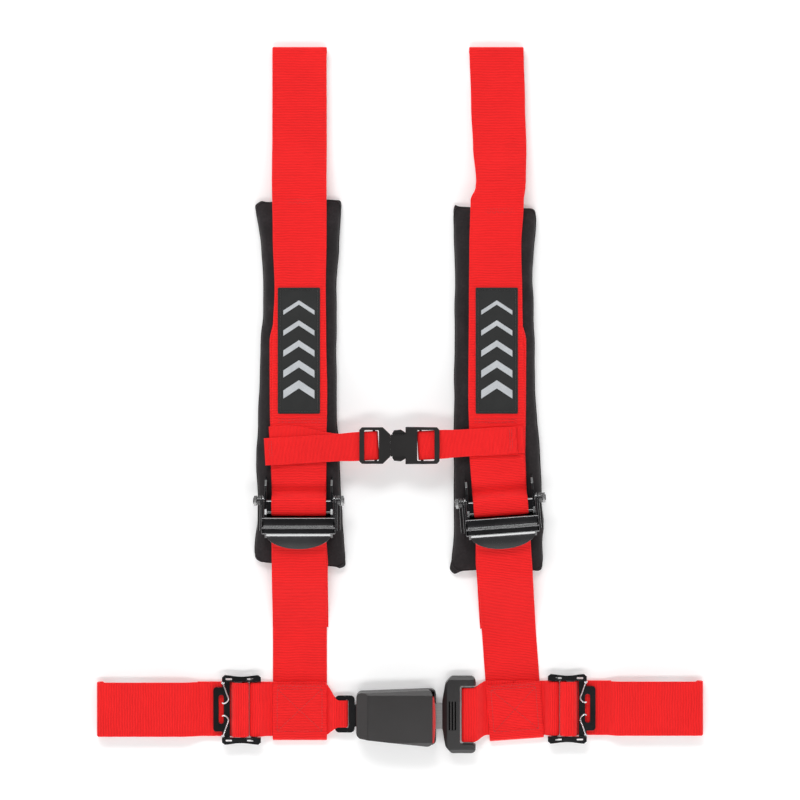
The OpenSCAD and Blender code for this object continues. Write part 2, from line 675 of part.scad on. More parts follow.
shoulder_strap(0);  // shoulder_strap_l
shoulder_strap(1);  // shoulder_strap_r
shoulder_end(0);  // shoulder_end_l
shoulder_end(1);  // shoulder_end_r
shoulder_anchor(0);  // shoulder_anchor_l
shoulder_anchor(1);  // shoulder_anchor_r
pad_cover(0);  // pad_cover_l
pad_cover(1);  // pad_cover_r
pad_core(0);  // pad_core_l
pad_core(1);  // pad_core_r
label(0);  // label_l
label(1);  // label_r
adjuster_frame(0);  // adjuster_frame_l
adjuster_frame(1);  // adjuster_frame_r
adjuster_bar(0);  // adjuster_bar_l
adjuster_bar(1);  // adjuster_bar_r
adjuster_pins(0);  // adjuster_pins_l
adjuster_pins(1);  // adjuster_pins_r
lever(0);  // lever_l
lever(1);  // lever_r
lever_springs(0);  // lever_springs_l
lever_springs(1);  // lever_springs_r
lock_bar_part(0);  // lock_bar_l
lock_bar_part(1);  // lock_bar_r
lower_strap(0);  // lower_strap_l
lower_strap(1);  // lower_strap_r
lap_inner_strap(0);  // lap_inner_strap_l
lap_inner_strap(1);  // lap_inner_strap_r
lap_frame(0);  // lap_frame_l
lap_frame(1);  // lap_frame_r
lap_slide_bar(0);  // lap_slide_bar_l
lap_slide_bar(1);  // lap_slide_bar_r
lap_springs(0);  // lap_springs_l
lap_springs(1);  // lap_springs_r
lap_strap(0);  // lap_strap_l
lap_strap(1);  // lap_strap_r
lap_end(0);  // lap_end_l
lap_end(1);  // lap_end_r
lap_anchor(0);  // lap_anchor_l
lap_anchor(1);  // lap_anchor_r
chest_strap(0);  // chest_strap_l
chest_strap(1);  // chest_strap_r
clip_male();
clip_prong_upper();
clip_prong_lower();
clip_female();
latch_top_cover();
latch_bottom_cover();
latch_frame();
latch_catch();
latch_rivet();
latch_button();
latch_button_springs();
latch_ejector();
latch_ejector_springs();
tongue_plate();
tongue_grip();
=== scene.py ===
import json
import math
import random

import bmesh
import bpy
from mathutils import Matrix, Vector
from mathutils.bvhtree import BVHTree

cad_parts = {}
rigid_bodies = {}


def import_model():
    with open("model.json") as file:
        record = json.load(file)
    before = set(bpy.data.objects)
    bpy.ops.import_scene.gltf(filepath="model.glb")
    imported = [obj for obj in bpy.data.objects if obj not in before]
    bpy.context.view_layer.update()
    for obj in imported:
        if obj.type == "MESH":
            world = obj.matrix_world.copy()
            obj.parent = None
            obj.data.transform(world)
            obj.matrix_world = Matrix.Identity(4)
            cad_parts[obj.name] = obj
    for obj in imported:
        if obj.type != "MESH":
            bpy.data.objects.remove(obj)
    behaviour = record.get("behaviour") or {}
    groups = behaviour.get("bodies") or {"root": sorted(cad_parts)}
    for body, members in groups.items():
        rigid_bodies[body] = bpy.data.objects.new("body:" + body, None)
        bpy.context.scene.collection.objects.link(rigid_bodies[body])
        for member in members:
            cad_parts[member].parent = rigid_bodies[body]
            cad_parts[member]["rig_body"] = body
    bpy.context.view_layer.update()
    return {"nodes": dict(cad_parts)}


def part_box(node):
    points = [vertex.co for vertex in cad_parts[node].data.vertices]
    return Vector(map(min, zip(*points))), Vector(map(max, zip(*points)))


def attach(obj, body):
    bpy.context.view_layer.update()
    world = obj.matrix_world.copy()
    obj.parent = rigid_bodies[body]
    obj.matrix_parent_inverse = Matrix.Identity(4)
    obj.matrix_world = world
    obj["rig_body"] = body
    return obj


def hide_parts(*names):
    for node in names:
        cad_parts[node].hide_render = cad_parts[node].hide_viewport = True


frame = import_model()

MM, WELD = 0.001, 0.000004      # a millimetre, and how close two points are one, in metres
SIDES = ("l", "r")

# ---- sizes repeated from the part, in millimetres

HALF_WEB, HALF_CHEST, WEB_T = 25.4, 12.7, 1.4   # half widths of the webbings, and their thickness
RIB, CHEST_RIB = 1.5, 1.25                      # spacing of the ribs across each webbing
SIDE_X = (-94.0, 90.2)                          # middle line of each shoulder strap
SIDE_TURN = (0.0, math.radians(4.2))            # how far each lower strap turns aside
TURN_Y, FOLD_Y, MID_SHIFT = -56.0, 328.2, 2.35  # where it turns, the upper fold, the origin's offset
LAP_Y, LAP_SHIFT = (-290.15, -289.15), 8.2      # middle of each lap strap, and the mirror's offset
LAP_FOLD = (-284.2, -276.0)                     # outer folds of the lap straps, both given on the left
LATCH_Y, CHEST_Y, CHEST_TURN = -295.95, -42.75, math.radians(3.3)
PAD_T, UNDER_STRAP = 16.3, 29                   # height of the pads, and half the width pressed flat
UPPER_BAR, LOCK_BAR = (-102, 23.5), (-119.5, 22.3)          # bars of the lever adjusters: (y, z)
SLIDE_BAR, INNER_BAR = (-151.5, 7.2), (-136.5, 5.2)         # bars of the lap adjusters: (x, z)
Z_BACK, Z_UNDER, Z_OVER, Z_FLAP = 0.75, 2.35, 3.95, 5.55    # layers of webbing at the lap
Z_RETURN, Z_FRONT, Z_TOP = 17.1, 18.6, 9.7                  # layers over the pads, and at the ends
Z_UPPER, SLOPE = Z_RETURN + 0.1, (76, 92)       # the front layer lies lower above this slope of y
FOLD_C, FOLD_R, LOOP_C, LOOP_R = (4.2, 4.4), 3.5, (17.3, 4.45), 3.55    # fold and loop of an end
TONGUE_MID, FRAME_MID = 8.45, 5.45              # middle heights of the tongue and the latch's frame
CLIP_Z, CLIP_BAR = 22.0, (-23.4, 19.8)          # height of the clip, and its two inner bars
Z_HEM = Z_FRONT + 3.1                           # upper layer of the chest strap over its hem


# ---- materials

class Shade:
    """A material with one Principled shader, and short names for its nodes."""

    def __init__(self, name, colour, rough, **sockets):
        self.m = bpy.data.materials.new(name)
        self.m.use_nodes = True
        self.m.diffuse_color = (*colour, 1)
        self.nt = self.m.node_tree
        self.bsdf = self.nt.nodes["Principled BSDF"]
        self.set("Base Color", (*colour, 1))
        self.set("Roughness", rough)
        for key, value in sockets.items():
            self.set(key.replace("_", " "), value)

    def set(self, socket, value):
        if isinstance(value, bpy.types.NodeSocket):
            self.nt.links.new(value, self.bsdf.inputs[socket])
        else:
            self.bsdf.inputs[socket].default_value = value

    def node(self, kind, inputs=(), **props):
        n = self.nt.nodes.new(kind)
        for key, value in props.items():
            setattr(n, key, value)
        for key, value in dict(inputs).items():
            if isinstance(value, bpy.types.NodeSocket):
                self.nt.links.new(value, n.inputs[key])
            else:
                n.inputs[key].default_value = value
        return n

    def math(self, op, a, b=0.0, c=0.0):
        return self.node("ShaderNodeMath", {0: a, 1: b, 2: c}, operation=op).outputs[0]

    def here(self):
        return self.node("ShaderNodeTexCoord").outputs["Object"]

    def noise(self, scale, detail=3.0, vector=None, rough=0.5):
        n = self.node("ShaderNodeTexNoise", {"Vector": vector or self.here(), "Scale": scale,
                                             "Detail": detail, "Roughness": rough})
        return n.outputs["Fac"]

    def ramp(self, fac, stops):
        n = self.node("ShaderNodeValToRGB", {"Fac": fac})
        while len(n.color_ramp.elements) < len(stops):
            n.color_ramp.elements.new(0.5)
        for e, (at, colour) in zip(n.color_ramp.elements, stops):
            e.position = at
            e.color = (*colour, 1) if hasattr(colour, "__len__") else (colour, colour, colour, 1)
        return n.outputs["Color"]

    def map(self, value, low, high, to_low, to_high):
        return self.node("ShaderNodeMapRange", {0: value, 1: low, 2: high, 3: to_low, 4: to_high}).outputs[0]

    def bump(self, height, distance, strength=1.0, under=None):
        n = self.node("ShaderNodeBump", {"Height": height, "Distance": distance, "Strength": strength})
        if under is not None:
            self.nt.links.new(under, n.inputs["Normal"])
        return n.outputs["Normal"]


def scaled(colour, by):
    return tuple(c * by for c in colour)


def webbing_shade(name, bright, shaded_and_faded, rib=RIB):
    """Ribs across the strap and yarns along them, in the strap's own millimetres, with painted shade in the
    grooves.
    """
    yarn_width = 1.05
    s = Shade(name, bright, 0.62, Sheen_Weight=0.08, Sheen_Roughness=0.5, Specular_IOR_Level=0.2)
    uv = s.node("ShaderNodeSeparateXYZ", {0: s.node("ShaderNodeUVMap", uv_map="mm").outputs[0]})
    across, along = uv.outputs[0], uv.outputs[1]
    wobble = s.math("MULTIPLY", s.noise(60, 2), 1.6)
    row = s.math("DIVIDE", s.math("ADD", along, wobble), rib)
    ribs = s.math("ABSOLUTE", s.math("SINE", s.math("MULTIPLY", row, math.pi)))
    stagger = s.math("MULTIPLY", s.math("FLOOR", row), 0.5)
    yarn = s.math("ABSOLUTE", s.math("SINE", s.math("MULTIPLY", s.math(
        "ADD", s.math("DIVIDE", across, yarn_width), stagger), math.pi)))
    height = s.math("MULTIPLY", s.math("POWER", ribs, 0.6), s.math("MULTIPLY_ADD", yarn, 0.45, 0.55))
    fibre = s.noise(4200, 2)
    s.set("Normal", s.bump(fibre, 0.00004, 0.6, s.bump(height, 0.0004, 0.9)))
    fade = s.noise(18, 4)
    # The colour darkens where the relief is low: painted shade in the grooves between ribs and yarns, with
    # random faded patches on top.
    tone = s.math("ADD", s.math("MULTIPLY", height, 0.75), s.math("MULTIPLY", fade, 0.3))
    s.set("Base Color", s.ramp(tone, [(0.2, shaded_and_faded), (0.62, bright), (1.0, bright)]))
    s.set("Roughness", s.map(height, 0, 1, 0.78, 0.56))
    return s.m


def suede_shade():
    """Black suede: a short nap, brushed patches and a little pilling."""
    s = Shade("suede", (0.014, 0.011, 0.012), 0.9, Sheen_Weight=0.12, Sheen_Roughness=0.4,
              Specular_IOR_Level=0.2)
    nap = s.noise(2600, 3)
    brush = s.noise(55, 5, rough=0.6)
    pill = s.noise(420, 3)
    s.set("Base Color", s.ramp(s.math("ADD", s.math("MULTIPLY", brush, 0.7), s.math("MULTIPLY", pill, 0.3)), [
        (0.3, (0.010, 0.008, 0.009)), (0.52, (0.019, 0.0155, 0.0165)), (0.75, (0.034, 0.028, 0.030))]))
    s.set("Roughness", s.map(brush, 0.3, 0.7, 0.82, 0.98))
    s.set("Normal", s.bump(nap, 0.00012, 0.6, s.bump(pill, 0.00025, 0.5, s.bump(brush, 0.0012, 0.35))))
    return s.m


def foam_shade():
    s = Shade("foam", (0.55, 0.47, 0.30), 0.95, Specular_IOR_Level=0.1)
    cells = s.node("ShaderNodeTexVoronoi", {"Vector": s.here(), "Scale": 900}).outputs["Distance"]
    # Darker at each cell's middle, where the bump sinks a pore: painted shade in the pores.
    s.set("Base Color", s.ramp(cells, [(0.1, (0.30, 0.25, 0.15)), (0.6, (0.60, 0.52, 0.34))]))
    s.set("Normal", s.bump(cells, 0.0004, 0.7))
    return s.m


def steel_shade(name, colour, rough, metallic, coat=0.0, wear=0.4):
    """Steel, plated or lacquered, with lighter worn patches."""
    s = Shade(name, colour, rough, Metallic=metallic, Coat_Weight=coat, Coat_Roughness=0.08,
              Coat_IOR=2.0, Specular_IOR_Level=0.25)
    grain = s.noise(700, 4, rough=0.65)
    cloud = s.noise(45, 3)
    lighter = tuple(min(1, c * (1 + wear)) for c in colour)
    s.set("Base Color", s.ramp(cloud, [(0.35, colour), (0.7, lighter)]))
    s.set("Roughness", s.math("ADD", s.map(cloud, 0.3, 0.7, rough * 0.85, rough * 1.2),
                              s.math("MULTIPLY", grain, rough * 0.25)))
    s.set("Normal", s.bump(grain, 0.000012, 0.4))
    return s.m


def brushed_shade(name, colour, rough):
    """Bare steel with fine lines along X."""
    s = Shade(name, colour, rough, Metallic=1.0)
    stretched = s.node("ShaderNodeMapping", {"Vector": s.here(), "Scale": (40, 1600, 1600)}).outputs[0]
    lines = s.noise(1.0, 3, stretched)
    s.set("Base Color", s.ramp(lines, [(0.3, scaled(colour, 0.75)), (0.7, colour)]))
    s.set("Roughness", s.map(lines, 0.3, 0.7, rough * 0.8, rough * 1.3))
    s.set("Normal", s.bump(lines, 0.00003, 0.6))
    return s.m


def plastic_shade(name, colour, rough, grain_mm=0.45, spec=0.45):
    """Moulded plastic with a spark-eroded grain."""
    depth = 0.00005
    s = Shade(name, colour, rough, Specular_IOR_Level=spec)
    grain = s.node("ShaderNodeTexVoronoi", {"Vector": s.here(), "Scale": 1 / (grain_mm * MM)},
                   feature="SMOOTH_F1").outputs["Distance"]
    fine = s.noise(2400, 2)
    cloud = s.noise(30, 3)
    s.set("Base Color", s.ramp(cloud, [(0.3, scaled(colour, 0.86)), (0.7, scaled(colour, 1.12))]))
    matt = s.math("ADD", grain, s.math("MULTIPLY", cloud, 0.4))
    s.set("Roughness", s.map(matt, 0.1, 1.0, rough * 0.9, rough * 1.2))
    s.set("Normal", s.bump(fine, 0.00002, 0.4, s.bump(grain, depth, 0.7)))
    return s.m


def dotted_shade(name, colour):
    """Red plastic with rows of raised dots, and painted shade between them."""
    s = Shade(name, colour, 0.35, Specular_IOR_Level=0.5)
    grid = {"Vector": s.here(), "Scale": 900, "Randomness": 0.0}
    dots = s.node("ShaderNodeTexVoronoi", grid).outputs["Distance"]
    s.set("Normal", s.bump(s.math("SUBTRACT", 1.0, dots), 0.0003, 0.6))
    # Darker between the raised dots: painted shade round them.
    s.set("Base Color", s.ramp(dots, [(0.15, colour), (0.6, scaled(colour, 0.55))]))
    return s.m


def thread_shade(name, colour):
    s = Shade(name, colour, 0.5, Specular_IOR_Level=0.4, Sheen_Weight=0.2)
    fibre = s.noise(5200, 2)
    s.set("Base Color", s.ramp(fibre, [(0.3, scaled(colour, 0.7)), (0.7, colour)]))
    s.set("Normal", s.bump(fibre, 0.00005, 0.7))
    return s.m


def label_shade(name, colour, pale, pitch=0.42):
    """Woven label: fine square weave."""
    s = Shade(name, colour, 0.6, Specular_IOR_Level=0.35, Sheen_Weight=0.1)
    at = s.node("ShaderNodeSeparateXYZ", {0: s.here()})
    warp, weft = (s.math("SINE", s.math("MULTIPLY", at.outputs[i], 2 * math.pi / (pitch * MM)))
                  for i in (0, 1))
    weave = s.math("MULTIPLY_ADD", s.math("MULTIPLY", warp, weft), 0.5, 0.5)
    tone = s.math("ADD", s.math("MULTIPLY", weave, 0.6), s.math("MULTIPLY", s.noise(90), 0.4))
    s.set("Base Color", s.ramp(tone, [(0.2, colour), (0.9, pale)]))
    s.set("Normal", s.bump(weave, 0.00008, 0.7))
    return s.m


# The deeper red is the webbing's painted shade in its grooves, and the colour of its random faded patches.
RED, RED_SHADED_AND_FADED = (0.93, 0.010, 0.011), (0.46, 0.003, 0.004)
M = {
    "webbing": webbing_shade("webbing_red", RED, RED_SHADED_AND_FADED),
    "chest": webbing_shade("webbing_red_fine", RED, RED_SHADED_AND_FADED, rib=CHEST_RIB),
    "suede": suede_shade(),
    "foam": foam_shade(),
    "label": label_shade("label_ground", (0.005, 0.0056, 0.0056), (0.015, 0.016, 0.016)),
    "silver": label_shade("label_silver", (0.34, 0.36, 0.38), (0.62, 0.64, 0.66), pitch=0.6),
    "black_steel": steel_shade("black_steel", (0.007, 0.007, 0.008), 0.16, 0.3, coat=1.0),
    "lever_steel": steel_shade("lever_steel", (0.010, 0.010, 0.011), 0.20, 0.5, coat=1.0, wear=0.8),
    "bright_steel": steel_shade("bright_steel", (0.62, 0.62, 0.64), 0.24, 1.0, wear=0.2),
    "knurled": steel_shade("knurled_steel", (0.30, 0.30, 0.31), 0.32, 1.0),
    "tongue": brushed_shade("tongue_steel", (0.27, 0.27, 0.27), 0.42),
    "plastic": plastic_shade("latch_plastic", (0.017, 0.0148, 0.0148), 0.33),
    "grip": plastic_shade("grip_plastic", (0.013, 0.0118, 0.012), 0.32, grain_mm=0.6),
    "clip": plastic_shade("clip_plastic", (0.015, 0.0138, 0.0138), 0.3, grain_mm=0.5, spec=0.6),
    # Near-black material for the sheets laid in the grip's grooves as painted shade.
    "groove": plastic_shade("groove_painted_shade", (0.0022, 0.0020, 0.0020), 0.5, spec=0.02),
    "button": dotted_shade("button_red", (0.75, 0.012, 0.012)),
    "pale": plastic_shade("inner_plastic", (0.60, 0.57, 0.50), 0.45),
    "thread_red": thread_shade("thread_red", (0.68, 0.011, 0.013)),
    "thread_black": thread_shade("thread_black", (0.022, 0.021, 0.022)),
}


# ---- paths and placing

def arc(c, r, a0, a1, n=12):
    """Points on a circle round c, from one angle to another in degrees."""
    return [(c[0] + r * math.cos(math.radians(a0 + (a1 - a0) * i / n)),
             c[1] + r * math.sin(math.radians(a0 + (a1 - a0) * i / n))) for i in range(n + 1)]


def ease(p, q, n=10):
    """Points from p to q, level at both ends."""
    return [(p[0] + (q[0] - p[0]) * i / n,
             p[1] + (q[1] - p[1]) * (1 - math.cos(math.pi * i / n)) / 2) for i in range(n + 1)]


def smooth01(t):
    t = max(0.0, min(1.0, t))
    return t * t * (3 - 2 * t)


def table(rows, x, column=1):
    """A value read from rows of (x, values...), eased between them."""
    rows = sorted(rows)
    if x <= rows[0][0]:
        return rows[0][column]
    for a, b in zip(rows, rows[1:]):
        if x <= b[0]:
            return a[column] + (b[column] - a[column]) * smooth01((x - a[0]) / (b[0] - a[0]))
    return rows[-1][column]


def edges_of(rows, run):
    """A strap's two side edges at a place along it, from rows of (run, low, high)."""
    return table(rows, run, 1), table(rows, run, 2)


def resample(points, step, soften=3):
    """Evenly spaced points along a path in the plane, with small corners rounded off."""
    clean = [Vector(points[0])]
    for p in points[1:]:
        if (Vector(p) - clean[-1]).length > 0.04:
            clean.append(Vector(p))
    runs = [0.0]
    for a, b in zip(clean, clean[1:]):
        runs.append(runs[-1] + (b - a).length)
    count = max(4, round(runs[-1] / step))
    out, k = [], 0
    for i in range(count + 1):
        s = runs[-1] * i / count
        while k < len(clean) - 2 and runs[k + 1] < s:
            k += 1
        u = (s - runs[k]) / (runs[k + 1] - runs[k])
        out.append(clean[k].lerp(clean[k + 1], u))
    for _ in range(soften):
        out = [out[0], *[(a + 2 * b + c) / 4 for a, b, c in zip(out, out[1:], out[2:])], out[-1]]
    return out


def turn(p, about, angle):
    """A point turned in plan about another, by radians."""
    c, s = math.cos(angle), math.sin(angle)
    x, y = p.x - about[0], p.y - about[1]
    return Vector((about[0] + c * x - s * y, about[1] + s * x + c * y, p.z))


# Each of these gives the function that moves a point from a strap's own place to the whole object's.

def at_shoulder(side):
    def place(p):
        if side and p.y < TURN_Y + 9:
            p = turn(p, (0, TURN_Y), SIDE_TURN[side] * smooth01((TURN_Y + 9 - p.y) / 18))
        return Vector((p.x + SIDE_X[side], p.y + MID_SHIFT, p.z))
    return place


def at_lap(side):
    def place(p):
        return Vector((p.x if side == 0 else LAP_SHIFT - p.x, p.y + LAP_Y[side], p.z))
    return place


def at_shoulder_fold(side):
    return lambda p: Vector((p.y + SIDE_X[side], FOLD_Y - p.x + MID_SHIFT, p.z))


def at_lap_fold(side):
    return lambda p: at_lap(side)(Vector((p.x + LAP_FOLD[side], p.y, p.z)))


def at_chest(side):
    def place(p):
        x = p.x if side == 0 else CLIP_BAR[0] + CLIP_BAR[1] - p.x
        q = turn(Vector((x, p.y, p.z)), (CLIP_BAR[side], 0), CHEST_TURN)
        return Vector((q.x, q.y + CHEST_Y, q.z))
    return place


# ---- making pieces

def new_mesh(name, verts, faces, material, uv=None, smooth=True):
    """A new object from points in millimetres."""
    me = bpy.data.meshes.new(name)
    me.from_pydata([tuple(v * MM) for v in verts], [], faces)
    if uv is not None:
        layer = me.uv_layers.new(name="mm")
        for poly in me.polygons:
            for li in poly.loop_indices:
                layer.data[li].uv = uv[me.loops[li].vertex_index]
    me.polygons.foreach_set("use_smooth", [smooth] * len(me.polygons))
    me.materials.append(material)
    me.validate()
    ob = bpy.data.objects.new(name, me)
    bpy.context.scene.collection.objects.link(ob)
    return ob


def from_bmesh(name, bm, place, material, smooth=True):
    """A new object from a bmesh, each point moved by place; frees the bmesh."""
    bm.verts.index_update()
    verts = [place(v.co) for v in bm.verts]
    faces = [tuple(v.index for v in f.verts) for f in bm.faces]
    bm.free()
    return new_mesh(name, verts, faces, material, smooth=smooth)


def crisp(ob):
    """Keeps flat faces looking flat beside rounded edges."""
    ob.modifiers.new("edges", "WEIGHTED_NORMAL").keep_sharp = True


def extruded(bm):
    """Extrudes the whole bmesh and gives the new vertices, still in the old ones' places."""
    ext = bmesh.ops.extrude_face_region(bm, geom=bm.faces[:])
    return [g for g in ext["geom"] if isinstance(g, bmesh.types.BMVert)]


def fix_normals(ob):
    bm = bmesh.new()
    bm.from_mesh(ob.data)
    bmesh.ops.recalc_face_normals(bm, faces=bm.faces)
    bm.to_mesh(ob.data)
    bm.free()


def done(ob, body, slot, *nodes):
    """Puts the piece on the body it rides on and hides the CAD nodes it stands for; slot is not used."""
    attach(ob, body)
    if nodes:
        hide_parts(*nodes)
    return ob


def body_of(node):
    return frame["nodes"][node]["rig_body"]


def ribbon(name, path, node, place, edges, across_y=False, material="webbing", rib=RIB, lift=None):
    """Webbing swept along a path of (run, height), where s is the length along it. edges(run, s) gives
    its two side edges, and lift(run, w, s) a rise at w across it."""
    inwards = (0.0, 0.12, 0.5, 1.3, 5.0)            # columns of points, from a side edge
    rounding = (0.0, 0.55, 0.92, 1.0, 1.0, 1.0)     # their shares of half the thickness
    rib_height = 0.09
    points = resample(path, rib / 2)
    n = len(points)
    verts, uv, s = [], [], 0.0
    for i, p in enumerate(points):
        a, b = points[max(i - 1, 0)], points[min(i + 1, n - 1)]
        d = (b - a).normalized()
        normal = Vector((-d.y, d.x))
        if i:
            s += (p - points[i - 1]).length
        lo, hi = edges(p.x, s)
        mid = (lo + hi) / 2
        ws = [lo + k for k in inwards] + [mid] + [hi - k for k in reversed(inwards)]
        ripple = rib_height if i % 2 else -rib_height
        upper = []
        for k, w in enumerate(ws):
            column = min(k, len(ws) - 1 - k)
            h = rounding[column] * WEB_T / 2
            upper.append((w, h + (ripple if column > 2 else ripple * 0.5 if column else 0)))
        ring = upper + [(w, -h) for w, h in upper[-2:0:-1]]
        for w, h in ring:
            run, z = p.x + normal.x * h, p.y + normal.y * h
            if lift:
                z += lift(run, w, s)
            verts.append(place(Vector((run, w, z)) if across_y else Vector((w, run, z))))
            uv.append((w, s))
    size = len(ring)
    faces = []
    for i in range(n - 1):
        for k in range(size):
            a, b = i * size + k, i * size + (k + 1) % size
            faces.append((a, b, b + size, a + size))
    faces.append(tuple(reversed(range(size))))
    faces.append(tuple(range((n - 1) * size, n * size)))
    ob = new_mesh(name, verts, faces, M[material], uv)
    fix_normals(ob)
    done(ob, body_of(node), "webbing", node)


def tube_into(verts, faces, line, radius, sides, taper=True):
    """Adds a closed tube round a line of points, thinner at its two ends if it tapers."""
    start, n = len(verts), len(line)
    prev = None
    for i, p in enumerate(line):
        d = (line[min(i + 1, n - 1)] - line[max(i - 1, 0)]).normalized()
        side = prev - d * prev.dot(d) if prev is not None else d.cross(Vector((0, 0, 1)))
        if side.length < 1e-4:
            side = d.cross(Vector((0, 1, 0)))
        side.normalize()
        prev = side
        up = side.cross(d)
        r = radius * (0.55 if taper and i in (0, n - 1) else 1)
        for k in range(sides):
            a = 2 * math.pi * k / sides
            verts.append(p + side * (r * math.cos(a)) + up * (r * math.sin(a)))
    for i in range(n - 1):
        for k in range(sides):
            a, b = start + i * sides + k, start + i * sides + (k + 1) % sides
            faces.append((a, a + sides, b + sides, b))
    faces.append(tuple(start + k for k in range(sides)))
    faces.append(tuple(start + (n - 1) * sides + k for k in reversed(range(sides))))


def stitches(name, lines, place, body, material="thread_red", slot="webbing", pitch=3.0, radius=0.26):
    """Thread stitches along lines of (x, y, z) points; each dips into the cloth at its ends."""
    rise, dip, stray = 0.16, -0.22, 0.09
    rng = random.Random(name)
    verts, faces = [], []
    for line in lines:
        for a, b in zip(line, line[1:]):
            a, b = Vector(a), Vector(b)
            count = max(1, round((b - a).length / pitch))
            for i in range(count):
                p, q = a.lerp(b, (i + 0.10) / count), a.lerp(b, (i + 0.90) / count)
                wob = Vector((rng.uniform(-stray, stray), rng.uniform(-stray, stray), 0))
                points = [p.lerp(q, u) + wob + Vector((0, 0, h)) for u, h in (
                    (0, dip), (0.12, rise * 0.5), (0.5, rise), (0.88, rise * 0.5), (1, dip))]
                tube_into(verts, faces, [place(v) for v in points], radius, 6)
    done(new_mesh(name, verts, faces, M[material]), body, slot)


def refine(node, material, slot, width, segments=2):
    """The CAD node's shape with every sharp edge rounded off, standing in for it."""
    flat, sharp = math.radians(1.2), math.radians(32)
    bm = bmesh.new()
    bm.from_mesh(frame["nodes"][node].data)
    bmesh.ops.remove_doubles(bm, verts=bm.verts, dist=WELD)
    bmesh.ops.dissolve_limit(bm, angle_limit=flat, verts=bm.verts, edges=bm.edges)
    rims = [e for e in bm.edges if len(e.link_faces) == 2 and e.calc_face_angle(0) > sharp]
    bmesh.ops.bevel(bm, geom=rims, offset=width * MM, offset_type="OFFSET", segments=segments,
                    profile=0.5, affect="EDGES", clamp_overlap=True)
    bmesh.ops.remove_doubles(bm, verts=bm.verts, dist=WELD / 2)
    ob = from_bmesh(node + "_shaped", bm, lambda p: p / MM, M[material])
    crisp(ob)
    return done(ob, body_of(node), slot, node)


def dress(node, material):
    """A CAD node that is shown as it is, in a better material."""
    materials = frame["nodes"][node].data.materials
    materials.clear()
    materials.append(M[material])


# ---- webbing

# side edges of each shoulder strap's front layer and of the layer returning under it: (y, left, right)
FRONT_EDGES = (
    ((330, -25.4, 25.4), (210, -25.5, 25.6), (150, -24.6, 25.6), (100, -22.9, 24.8), (60, -24.4, 25.2),
     (0, -25.2, 26.2), (-50, -25.4, 25.4)),
    ((330, -25.4, 25.4), (272, -23.8, 26.8), (234, -22.0, 28.0), (202, -19.4, 27.2), (196, -19.8, 26.8),
     (183, -24.6, 25.2), (140, -25.6, 22.8), (90, -26.0, 23.8), (0, -26.6, 25.8), (-50, -25.4, 25.4)),
)
RETURN_EDGES = (
    ((74, -23.6, 22.6), (52, -27.5, 22.8), (0, -27.4, 23.2), (-50, -26.6, 24.0), (-100, -25.4, 25.4)),
    ((74, -22.6, 23.0), (52, -22.8, 27.4), (0, -23.2, 27.2), (-50, -24.0, 26.6), (-100, -25.4, 25.4)),
)


def shoulder_path():
    """Down over the pad, a bulge above the lever adjuster, round its upper bar and back under."""
    c, r, bulge = (UPPER_BAR[0] - 4, UPPER_BAR[1]), 3.8, Z_FRONT + 2.2
    return ([(FOLD_Y - 1.8, Z_TOP - 0.25), (FOLD_Y - 6, Z_TOP), (252, Z_TOP)]
            + ease((248, Z_TOP), (192, Z_UPPER)) + [(100, Z_UPPER)]
            + ease((SLOPE[1], Z_UPPER), (SLOPE[0], Z_FRONT)) + [(TURN_Y, Z_FRONT)]
            + ease((-66, Z_FRONT), (-79, bulge)) + ease((-80, bulge), (-88.2, Z_FRONT - 0.1))
            + ease((-88.8, Z_FRONT), (-95.6, c[1] + r), 8) + arc(c, r, 90, 270)
            + ease((-96, c[1] - r), (-88, Z_RETURN), 8) + [(72, Z_RETURN)])


def shoulder_strap(side):
    """The whole shoulder webbing, cupped and slightly waved where it lies over the pad."""
    k = SIDES[side]
    turned = 440.0      # path length by which the strap has gone round the bar
    flat = 430.0        # path length from which it lies still

    def edges(run, s):
        return edges_of((FRONT_EDGES if s < turned else RETURN_EDGES)[side], run)

    def cup(run, w, s):
        if s > flat:
            return 0.0
        bow = 0.35 * math.exp(-((run - 205) / 40) ** 2) * (w / HALF_WEB) ** 2
        wave = 0.10 * math.sin(run / 17.0 + side) * math.sin(w / 9.0 + 1.0)
        buckle = 0.0
        if side:    # the right strap buckles a little where it comes onto its pad
            off = run - 194 - 0.34 * w
            buckle = 1.5 * math.exp(-(off / 4.5) ** 2) * (1 - smooth01((w - 2) / 22))
        return bow + buckle + wave * smooth01((FOLD_Y - 8 - run) / 20)

    ribbon("shoulder_webbing_" + k, shoulder_path(), "shoulder_strap_" + k, at_shoulder(side), edges,
           lift=cup)


def lower_strap(side):
    """Sewn round the lap strap, up the front, round the lock bar, and down again underneath."""
    wrap = (-318.8, (Z_FLAP + Z_BACK) / 2)
    c, r = LOCK_BAR, 5.05
    path = ([(-269, Z_FLAP), (-316, Z_FLAP)] + arc(wrap, (Z_FLAP - Z_BACK) / 2, 90, 270)
            + [(-230, Z_BACK), (-222, 1.3), (-213, 3.2), (-203, 6.3), (-193, 10), (-183, 13.8), (-175, 17),
               (-168, 19), (-158, 19.8), (-148, 20.6), (-140, 21.8), (-132, 24.4), (-126.5, 26.6)]
            + arc(c, r, 108, 90, 3) + arc((c[0] + 1.9, c[1]), r, 90, -90)
            + [(-126, Z_RETURN + 0.05), (-169, Z_RETURN + 0.05), (-174, 15.8), (-182, 12), (-191, 7.8),
               (-200, 4.4), (-209, 1.9), (-216, 0.9)])
    turned = 268.0      # path length at which the webbing turns back under the lock bar
    aside = -1.4 if side else 1.4

    def edges(run, s):
        off = aside * smooth01((-130 - run) / 25) if s > turned else 0.0
        return off - HALF_WEB, off + HALF_WEB

    def settle(run, w, s):
        return 0.12 * math.sin(run / 13.0) * math.sin(w / 8.0 + 1) if 60 < s < 250 else 0.0

    k = SIDES[side]
    ribbon("lower_webbing_" + k, path, "lower_strap_" + k, at_shoulder(side), edges, lift=settle)


